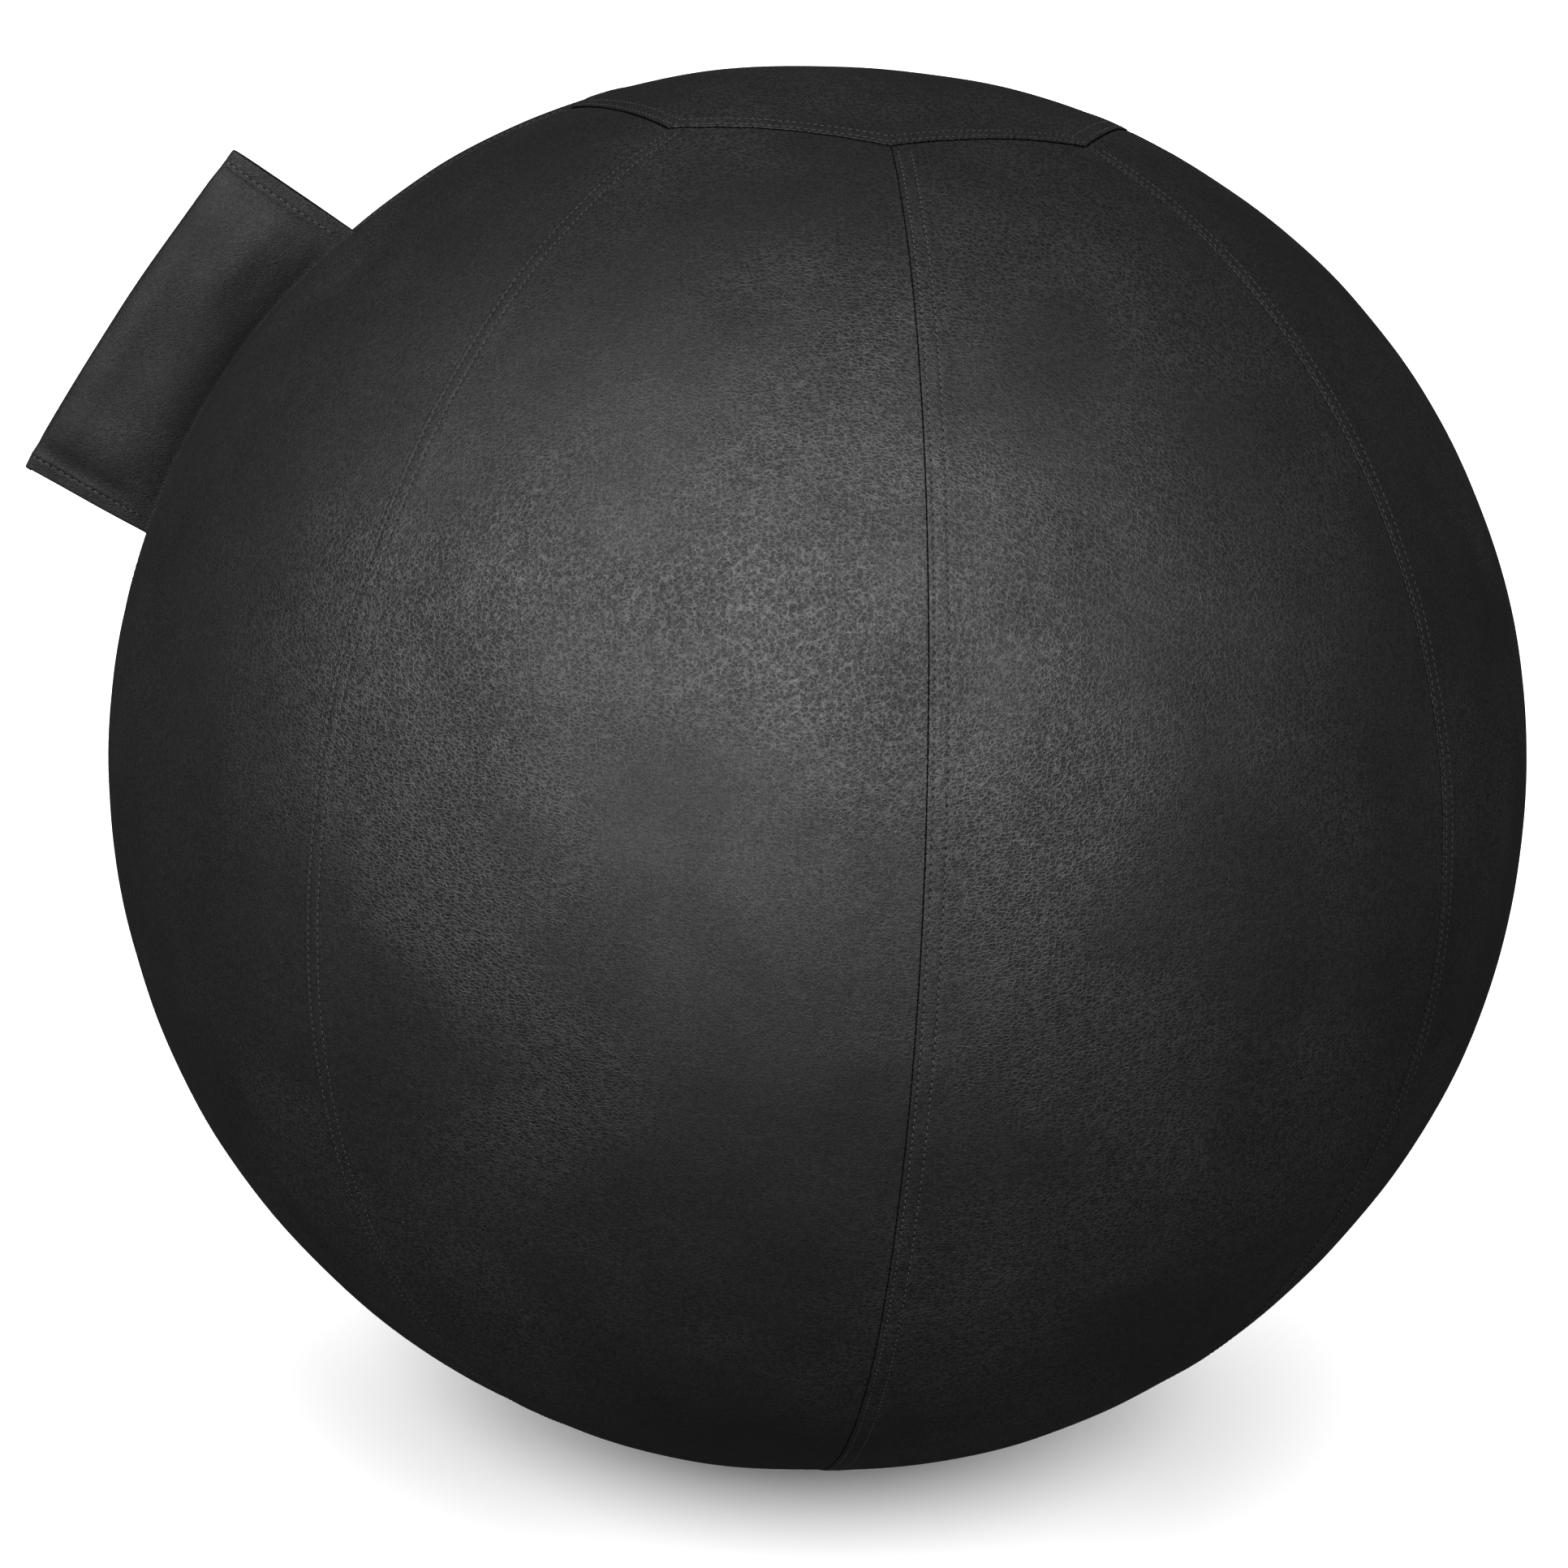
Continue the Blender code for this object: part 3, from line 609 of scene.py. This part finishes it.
def make_top_panel():
    columns = PANEL_COUNT * 36 + 1
    azimuth = np.linspace(0.0, 360.0, columns)[None, :]
    middle = atan(tan(radians(CROWN_CORNER)) * cos(pi / PANEL_COUNT)) * BALL_RADIUS
    inset = np.concatenate([STITCHED_LINES, np.linspace(STITCHED_LINES[-1], middle, 26)[1:]])[:, None]
    polar = crown_edge(azimuth, inset + SEAM_HALF_GAP * (inset < middle))
    azimuth = np.repeat(azimuth, len(inset), axis=0)
    skin = directions(azimuth, polar) * BALL_RADIUS
    lift = stitched_band(inset) + CROWN_LIFT + seam_pucker(inset, skin) - rolled_edge(inset, 0.5 * MM)
    points = on_ball(azimuth, polar, lift)
    seam = (inset, crown_phase(azimuth))
    piece = add_mesh("leather_top_panel", points, grid_faces(len(inset), columns)[:, ::-1], COVER_LEATHER, "ball",
                     seam, seam)
    finish_round_panel(piece)
    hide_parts("top_panel")


for panel in range(PANEL_COUNT):
    make_side_panel(panel)
make_top_panel()


# ---------------------------------------------------------------------------------------------- stitches
def stitch_template():
    """One stitch along X, a little slanted: a flattened thread that comes up out of the leather and goes back."""
    stations = np.array([-0.34, -0.30, -0.15, 0.15, 0.30, 0.34]) * STITCH_PITCH
    heights = np.array([-0.42, 0.0, 0.15, 0.15, 0.0, -0.42]) * MM
    slant = np.linspace(-0.14, 0.14, len(stations)) * MM
    sides = 6
    radius = 0.23 * MM
    flatness = 0.4
    turn = np.arange(sides) * 2.0 * pi / sides
    ring = np.stack([0.0 * turn, np.cos(turn), flatness * np.sin(turn)], axis=-1) * radius
    points = ring[None] + np.stack([stations, slant, heights], axis=-1)[:, None]
    return points.reshape(-1, 3), grid_faces(len(stations), sides, wrap=True)


STITCH_POINTS, STITCH_FACES = stitch_template()


def stitch_row(line, normals, phase):
    """Stitches along a line of points, from one whole phase to the next, standing on the line's normals."""
    holes = np.arange(np.ceil(phase.min()), np.floor(phase.max()) + 1)
    order = np.argsort(phase)

    def read(values, at):
        return np.stack([np.interp(at, phase[order], values[order, axis]) for axis in range(3)], axis=-1)

    corners = read(line, holes)
    middle = (corners[1:] + corners[:-1]) / 2.0
    forward = corners[1:] - corners[:-1]
    length = np.linalg.norm(forward, axis=1)[:, None]
    forward /= length
    up = read(normals, holes[1:] - 0.5)
    side = np.cross(up, forward)
    side /= np.linalg.norm(side, axis=1)[:, None]
    up = np.cross(forward, side)
    local = STITCH_POINTS[None] * np.stack([length / STITCH_PITCH, 1.0 + 0.0 * length, 1.0 + 0.0 * length], axis=-1)
    return (middle[:, None] + local[..., :1] * forward[:, None] + local[..., 1:2] * side[:, None]
            + local[..., 2:] * up[:, None])


def add_stitches(name, rows, body):
    """Joins rows of stitches in one piece, as one run of thread."""
    stitches = np.concatenate(rows)
    count, size = stitches.shape[:2]
    faces = (STITCH_FACES[None] + (np.arange(count) * size)[:, None, None]).reshape(-1, 4)
    piece = add_mesh(name, stitches, faces, THREAD, body)
    shape = bmesh.new()
    shape.from_mesh(piece.data)
    bmesh.ops.holes_fill(shape, edges=shape.edges, sides=8)
    bmesh.ops.recalc_face_normals(shape, faces=shape.faces)
    shape.to_mesh(piece.data)
    shape.free()
    piece.data.shade_smooth()
    return piece


def ball_row(azimuth, polar, lift, phase):
    return stitch_row(on_ball(azimuth, polar, lift), directions(azimuth, polar), phase)


def row_lift(distance):
    return float(stitched_band(np.array(distance)))


def make_panel_stitches():
    for number in range(PANEL_COUNT):
        start = PANEL_ANGLE * number
        top = crown_edge(start + 0.001)
        polar = np.linspace(top + arc(0.6 * MM), 180.0 - BASE_SEAM - arc(3.0 * MM + base_gap(start)), 400)
        rows = []
        for distance in (FIRST_ROW, SECOND_ROW):
            ring = BALL_RADIUS * np.sin(np.radians(polar))
            azimuth = start + rows_side(start) * np.degrees((distance + seam_gap(start, polar)) / ring)
            pillow = panel_pillow(distance / (radians(PANEL_ANGLE) * ring))
            rows.append(ball_row(azimuth, polar, row_lift(distance) + pillow, panel_phase(polar)))
        add_stitches(f"stitching_seam_{number + 1}", rows, "ball")


def make_crown_stitches():
    azimuth = np.linspace(0.0, 360.0, 1600)
    rows = [ball_row(azimuth, crown_edge(azimuth, distance), row_lift(distance) + CROWN_LIFT, crown_phase(azimuth))
            for distance in (FIRST_ROW, SECOND_ROW)]
    add_stitches("stitching_crown", rows, "ball")


make_panel_stitches()
make_crown_stitches()


# ---------------------------------------------------------------------------------------------- handle
TILT = radians(HANDLE_POLAR)
UP_THE_SEAM = np.array([cos(TILT), 0.0, sin(TILT)])
OUTWARD = np.array([-sin(TILT), 0.0, cos(TILT)])
ACROSS = np.cross(UP_THE_SEAM, OUTWARD)
HINGE = np.array(CENTRE) + OUTWARD * (BALL_RADIUS + HINGE_HEIGHT)
HANDLE_WAVES = Waves(21, 0.045, 0.12)


def loop_path(climb, end, inset=0.0):
    """Across and outward places on the loop: climb runs -1 to 1 from root over the fold to root, end is the
    distance up the seam from the handle's middle."""
    rise = 1.0 - np.abs(climb)
    root = np.sqrt(BALL_RADIUS ** 2 - end ** 2) - BALL_RADIUS - HINGE_HEIGHT + ROOT_CLEARANCE
    from_middle = np.abs(end) / HANDLE_HALF_WIDTH
    fold = HANDLE_REACH + HANDLE_BOW * (1.0 - from_middle ** 2) - BALL_RADIUS - HINGE_HEIGHT
    loop_half = LOOP_HALF + (LOOP_END_HALF - LOOP_HALF) * smooth_step(from_middle, 0.6, 1.0)
    share = np.clip(NOSE_START * rise / LEG_SHARE, 0.0, NOSE_START)
    opened = 1.0 - np.clip(1.0 - share / RISE_END, 0.0, 1.0) ** 2
    half = LEG_HALF + (loop_half - LEG_HALF) * opened
    turn = np.clip((rise - LEG_SHARE) / (1.0 - LEG_SHARE), 0.0, 1.0) * pi / 2.0
    across = (half - inset) * np.cos(turn)
    out = root + share * (fold - root) + ((1.0 - NOSE_START) * (fold - root) - inset) * np.sin(turn)
    tail = np.clip(-rise, 0.0, None)
    return np.sign(climb) * across, out - tail * ROOT_TAIL


def handle_points(climb, along, inset=0.0):
    """Points of the loop, from climb and from along, which runs -1 to 1 up the seam."""
    rise = np.clip(1.0 - np.abs(climb), 0.0, 1.0)
    half = np.where(along > 0.0, HANDLE_HALF_WIDTH, HANDLE_HALF_WIDTH - HANDLE_FLARE * (1.0 - rise))
    end = along * half
    across, out = loop_path(climb, end, inset)
    points = HINGE + across[..., None] * ACROSS + end[..., None] * UP_THE_SEAM + out[..., None] * OUTWARD
    return points, rise


def outward_normals(points):
    down, over = np.gradient(points, axis=0), np.gradient(points, axis=1)
    normal = np.cross(down, over)
    return normal / np.linalg.norm(normal, axis=-1, keepdims=True)


def handle_relief(from_end, rise, points):
    """Height over the plain loop: a folded hem with its row of stitches, a trough beside it, a swelling at the
    upper end, and the leather's soft unevenness."""
    hem = HEM_HEIGHT * (1.0 - smooth_step(from_end, HEM_WIDTH, HEM_WIDTH + 2.0 * MM))
    row = 0.3 * MM * np.exp(-((from_end - HEM_ROW) / (0.55 * MM)) ** 2)
    trough = 0.5 * MM * np.exp(-((from_end - HEM_WIDTH - 5.0 * MM) / (3.0 * MM)) ** 2)
    free = smooth_step(rise, 0.02, 0.35) * (1.0 - 0.75 * smooth_step(rise, 0.80, 1.0))
    soft = 0.7 * MM * HANDLE_WAVES(points) * smooth_step(from_end, 4.0 * MM, 30.0 * MM)
    swelling = 2.2 * MM * np.exp(-((from_end - SWELL_FROM_END) / (20.0 * MM)) ** 2
                                 - ((rise - SWELL_RISE) / 0.15) ** 2)
    swelling = swelling * ((points - HINGE) @ UP_THE_SEAM > 0.0)
    pucker = 0.12 * MM * PUCKER_WAVES(points) * np.exp(-((from_end - HEM_ROW) / (5.0 * MM)) ** 2)
    return free * (hem - row - trough + soft + swelling) + pucker - rolled_edge(from_end, 1.1 * MM)


def handle_layer(name, along_lines, inset, thickness, material, rise_start=LAYER_START):
    """One layer of the loop as a closed shell that bends where it leaves the seam."""
    climb = np.linspace(-(1.0 - rise_start), 1.0 - rise_start, 141)[:, None]
    climb, along = np.broadcast_arrays(climb, along_lines[None, :])
    points, rise = handle_points(climb, along, inset)
    from_end = (1.0 - np.abs(along)) * HANDLE_HALF_WIDTH
    normals = outward_normals(points)
    base, _ = handle_points(climb, along)
    outer = points + normals * handle_relief(from_end, rise, base)[..., None]
    hemmed = 1.0 + 0.75 * (1.0 - smooth_step(from_end, HEM_WIDTH, HEM_WIDTH + 0.8 * MM)) * (inset == 0.0)
    inner = outer - normals * (thickness * hemmed * (0.35 + 0.65 * smooth_step(rise, 0.0, 0.15)))[..., None]
    middle = outer[:, outer.shape[1] // 2]
    length = np.concatenate([[0.0], np.cumsum(np.linalg.norm(np.diff(middle, axis=0), axis=1))])
    phase = np.repeat(length[:, None] / STITCH_PITCH, climb.shape[1], axis=1)
    seam = (np.stack([from_end, from_end]), np.stack([phase, phase]))
    piece = add_mesh(name, np.stack([outer, inner]), shell_faces(*climb.shape), material, None, seam, seam)
    return piece, outer, normals, phase


def bend_at_root(piece):
    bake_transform(piece)


def make_handle():
    hem_lines = np.array([0, 0.12, 0.3, 0.6, 1.0, 1.7, 2.6, 3.6, 4.6, 5.3, 5.8, 6.3, 6.8, 7.4, 8.0, 8.7, 9.4, 10.6,
                          12.0, 14.0]) * MM
    fixed, shares = spread_lines(hem_lines, hem_lines, 56)
    width = 2.0 * HANDLE_HALF_WIDTH
    along = 2.0 * (fixed + shares * width) / width - 1.0
    strip, outer, normals, phase = handle_layer("leather_handle_loop", along, 0.0, HANDLE_THICKNESS,
                                                HANDLE_LEATHER)
    lining_along = np.linspace(-LINING_SHARE, LINING_SHARE, 70)
    lining = handle_layer("woven_handle_lining", lining_along, HANDLE_THICKNESS + 0.3 * MM, LINING_THICKNESS,
                          WEBBING, rise_start=LINING_START)[0]
    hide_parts("handle_strip")
    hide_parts("handle_lining")

    clear = slice(STITCH_FREE_ROWS, -STITCH_FREE_ROWS)
    column = np.argmin(np.abs(fixed - HEM_ROW))
    rows = [stitch_row(outer[clear, place], normals[clear, place], phase[clear, place])
            for place in (column, len(fixed) - 1 - column)]
    stitches = add_stitches("stitching_handle_hems", rows, None)

    for piece in (strip, lining, stitches):
        bend_at_root(piece)


make_handle()


# ---------------------------------------------------------------------------------------------- base and zip
def base_phase(azimuth):
    """Stitches round the base panel's edge, a whole number in all."""
    ring = 2.0 * pi * BALL_RADIUS * sin(radians(BASE_SEAM))
    return round(ring / STITCH_PITCH) * azimuth / 360.0


def make_base_panel():
    """The round underside, flat where it stands, with a row of stitches near its edge."""
    columns = 481
    azimuth = np.linspace(0.0, 360.0, columns)[None, :]
    edge = radians(BASE_SEAM) * BALL_RADIUS - base_gap(azimuth)
    lines = np.array([0, 0.12, 0.3, 0.6, 1.0, 1.6, 2.3, 2.9, 3.4, 3.9, 4.6, 5.6, 7.0, 9.0]) * MM
    inner = np.linspace(0.0, 1.0, 40)[1:, None] * (edge - lines[-1])
    inset = np.concatenate([lines[:, None] + 0.0 * edge, lines[-1] + inner])
    polar = 180.0 - arc(edge - inset)
    azimuth = np.repeat(azimuth, len(inset), axis=0)
    row = np.exp(-((inset - TAPE_ROW) / (0.6 * MM)) ** 2)
    lift = -0.22 * MM * row - rolled_edge(inset, 0.9 * MM)
    points = on_ball(azimuth, polar, lift)
    seam = (inset, base_phase(azimuth))
    piece = add_mesh("grip_base_panel", points, grid_faces(len(inset), columns), BASE_FABRIC, "ball", seam, seam)
    finish_round_panel(piece)
    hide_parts("base_panel")

    turn = np.linspace(0.0, 360.0, 1400)
    base_row = ball_row(turn, 180.0 - BASE_SEAM + arc(base_gap(turn) + TAPE_ROW), -0.22 * MM, base_phase(turn))
    zip_turn = np.linspace(ZIP_START + 2.0, ZIP_END - 2.0, 900)
    side_row = ball_row(zip_turn, 180.0 - BASE_SEAM - arc(base_gap(zip_turn) + TAPE_ROW), -0.1 * MM,
                        base_phase(zip_turn))
    add_stitches("stitching_base", [base_row, side_row], "ball")


def make_tape_tails():
    """Both tapes run on past the stops under the leather, sewn together, and close the zip's ends."""
    for name, start in (("woven_zip_tail_closed_end", ZIP_START - TAPE_TAIL),
                        ("woven_zip_tail_open_end", ZIP_END)):
        azimuth = np.linspace(start, start + TAPE_TAIL, 21)[None, :]
        polar = 180.0 - BASE_SEAM + arc(np.linspace(-TAPE_TAIL_HALF, TAPE_TAIL_HALF, 25))[:, None]
        points = on_ball(azimuth, polar, -TAPE_DEPTH)
        piece = add_mesh(name, points, grid_faces(*points.shape[:2]), TAPE_CLOTH, "ball")
        thicken(piece, TAPE_THICKNESS)


def make_coils():
    """The nylon coils as fine springs along the tapes' edges."""
    for name, side in (("zip_coil_side", 1.0), ("zip_coil_base", -1.0)):
        sweep = ZIP_END - ZIP_START - 2.0 * COIL_END
        ring = BALL_RADIUS * sin(radians(BASE_SEAM))
        turns = int(radians(sweep) * ring / COIL_PITCH)
        steps = 8
        count = turns * steps + 1
        share = np.arange(count) / (count - 1)
        angle = 2.0 * pi * turns * share * side
        reach = COIL_RADIUS - COIL_WIRE
        polar = 180.0 - BASE_SEAM - side * arc(COIL_SPACING) + arc(reach * np.cos(angle))
        points = on_ball(ZIP_START + COIL_END + sweep * share, polar, -COIL_DEPTH + reach * np.sin(angle),
                         uneven=False)
        curve = bpy.data.curves.new("spring_" + name, "CURVE")
        curve.dimensions = "3D"
        curve.bevel_depth = COIL_WIRE
        curve.bevel_resolution = 1
        curve.use_fill_caps = True
        spline = curve.splines.new("POLY")
        spline.points.add(count - 1)
        spline.points.foreach_set("co", np.concatenate([points, np.ones((count, 1))], axis=1).ravel())
        spline.use_smooth = True
        curve.materials.append(NYLON)
        coil = bpy.data.objects.new("spring_" + name, curve)
        bpy.context.scene.collection.objects.link(coil)
        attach(coil, "ball")
        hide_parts(name)


make_base_panel()
make_tape_tails()
make_coils()


# ---------------------------------------------------------------------------------------------- CAD nodes kept
def finish_node(name, material):
    node = frame["nodes"][name]
    node.data.materials.clear()
    node.data.materials.append(material)


KEPT = {"zip_tape_side": TAPE_CLOTH, "zip_tape_base": TAPE_CLOTH,
        "zip_stop_closed_end": GUNMETAL, "zip_stop_open_end": GUNMETAL,
        "zip_slider": GUNMETAL, "zip_puller": GUNMETAL,
        "handle_anchor_tape": WEBBING, "base_weight_sleeve": WEBBING, "base_weight_fill": GRAINS,
        "bladder": PVC, "valve_collar": PVC, "valve_plug": PLUG}
for node_name, node_material in KEPT.items():
    finish_node(node_name, node_material)


# ---------------------------------------------------------------------------------------------- stage
WORLD_DIFFUSE = 0.15
WORLD_GLOSS = 0.03


def make_floor():
    mesh = bpy.data.meshes.new("floor")
    half = 30.0
    mesh.from_pydata([(-half, -half, 0), (half, -half, 0), (half, half, 0), (-half, half, 0)], [], [(0, 1, 2, 3)])
    shader = Shader("floor_paper", Roughness=0.9, Specular_IOR_Level=0.1)
    place = shader.node("ShaderNodeTexCoord", "Object")
    shade = shader.ramp(shader.noise(place, 0.3), 0.3, 0.7, 0.99, 1.0)
    shader.set("Base Color", shader.tint((0.93, 0.93, 0.93), shade))
    mesh.materials.append(shader.material)
    floor = bpy.data.objects.new("floor", mesh)
    bpy.context.scene.collection.objects.link(floor)
    # The lamps and the world light the ball, and the paper doesn't
    floor.visible_glossy = False
    floor.visible_diffuse = False
    return floor


def link_light(lamp, floor, floor_only):
    """A lamp shines on the floor alone, or on everything but the floor."""
    receivers = bpy.data.collections.new("receivers_of_" + lamp.name)
    receivers.objects.link(floor)
    lamp.light_linking.receiver_collection = receivers
    receivers.collection_objects[0].light_linking.link_state = "INCLUDE" if floor_only else "EXCLUDE"


def towards(azimuth, elevation):
    """Direction seen from the ball; azimuth 0 is the side that the ball's front seam faces."""
    turn, tilt = radians(azimuth), radians(elevation)
    return Vector((sin(turn) * cos(tilt), -cos(turn) * cos(tilt), sin(tilt)))


def light_from(name, azimuth, elevation, distance, size, power, floor, glossy=True):
    """A softbox, width by height, aimed at the ball."""
    way = towards(azimuth, elevation)
    light = bpy.data.lights.new(name, "AREA")
    light.shape = "RECTANGLE"
    light.size, light.size_y = size
    light.energy = power
    lamp = bpy.data.objects.new(name, light)
    lamp.location = CENTRE + way * distance
    lamp.rotation_euler = way.to_track_quat("Z", "Y").to_euler()
    lamp.visible_glossy = glossy
    bpy.context.scene.collection.objects.link(lamp)
    link_light(lamp, floor, False)


def floor_sun(name, azimuth, elevation, power, softness, floor):
    """Soft light on the floor alone: the ball's shadow on white paper is lit from its own sides."""
    light = bpy.data.lights.new(name, "SUN")
    light.energy = power
    light.angle = radians(softness)
    lamp = bpy.data.objects.new(name, light)
    lamp.rotation_euler = towards(azimuth, elevation).to_track_quat("Z", "Y").to_euler()
    bpy.context.scene.collection.objects.link(lamp)
    link_light(lamp, floor, True)


def make_world():
    """White behind the object, with less light from it on surfaces, and little of it in their gloss."""
    world = bpy.data.worlds.new("studio")
    world.use_nodes = True
    tree = world.node_tree
    background = tree.nodes["Background"]
    path = tree.nodes.new("ShaderNodeLightPath")
    seen = tree.nodes.new("ShaderNodeMath")
    seen.operation = "MULTIPLY_ADD"
    tree.links.new(path.outputs["Is Camera Ray"], seen.inputs[0])
    seen.inputs[1].default_value = 1.0 - WORLD_GLOSS
    seen.inputs[2].default_value = WORLD_GLOSS
    lit = tree.nodes.new("ShaderNodeMath")
    lit.operation = "MULTIPLY_ADD"
    tree.links.new(path.outputs["Is Diffuse Ray"], lit.inputs[0])
    lit.inputs[1].default_value = WORLD_DIFFUSE - WORLD_GLOSS
    tree.links.new(seen.outputs[0], lit.inputs[2])
    tree.links.new(lit.outputs[0], background.inputs["Strength"])
    background.inputs["Color"].default_value = (1.0, 1.0, 1.0, 1.0)
    bpy.context.scene.world = world


def make_camera():
    """The photograph's view: a little left of the front seam and above the ball, turned slightly about its axis."""
    azimuth, elevation, roll = radians(-7.6), radians(15.9), radians(3.2)
    distance = 4.67 * BALL_RADIUS
    sensor, lens = 36.0, 74.25
    aim_right, aim_up = radians(0.568), radians(0.374)
    back = Vector((sin(azimuth) * cos(elevation), -cos(azimuth) * cos(elevation), sin(elevation)))
    level = Vector((cos(azimuth), sin(azimuth), 0.0))
    upright = back.cross(level)
    right = level * cos(roll) + upright * sin(roll)
    up = upright * cos(roll) - level * sin(roll)
    aim = (back + right * aim_right + up * aim_up).normalized()
    right = up.cross(aim).normalized()
    up = aim.cross(right)
    camera_data = bpy.data.cameras.new("camera")
    camera_data.sensor_width = sensor
    camera_data.lens = lens
    camera_data.clip_end = 100.0
    camera = bpy.data.objects.new("camera", camera_data)
    camera.matrix_world = Matrix((right, up, aim)).transposed().to_4x4()
    camera.location = CENTRE + back * distance
    bpy.context.scene.collection.objects.link(camera)
    bpy.context.scene.camera = camera


bpy.context.scene.view_settings.view_transform = "Standard"
paper = make_floor()
make_world()
make_camera()
light_from("key", -20.5, 39.4, 2.2, (4.7, 1.9), 85.0, paper)
light_from("low_fill", -13.0, 0.0, 2.2, (2.2, 0.5), 10.0, paper)
light_from("back", 172.0, 8.0, 2.2, (2.4, 0.6), 90.0, paper, glossy=False)
floor_sun("floor_left", -50.0, 32.0, 4.1, 48.0, paper)
floor_sun("floor_right", 42.0, 37.0, 3.2, 46.0, paper)
floor_sun("floor_behind", 188.0, 58.0, 2.4, 70.0, paper)
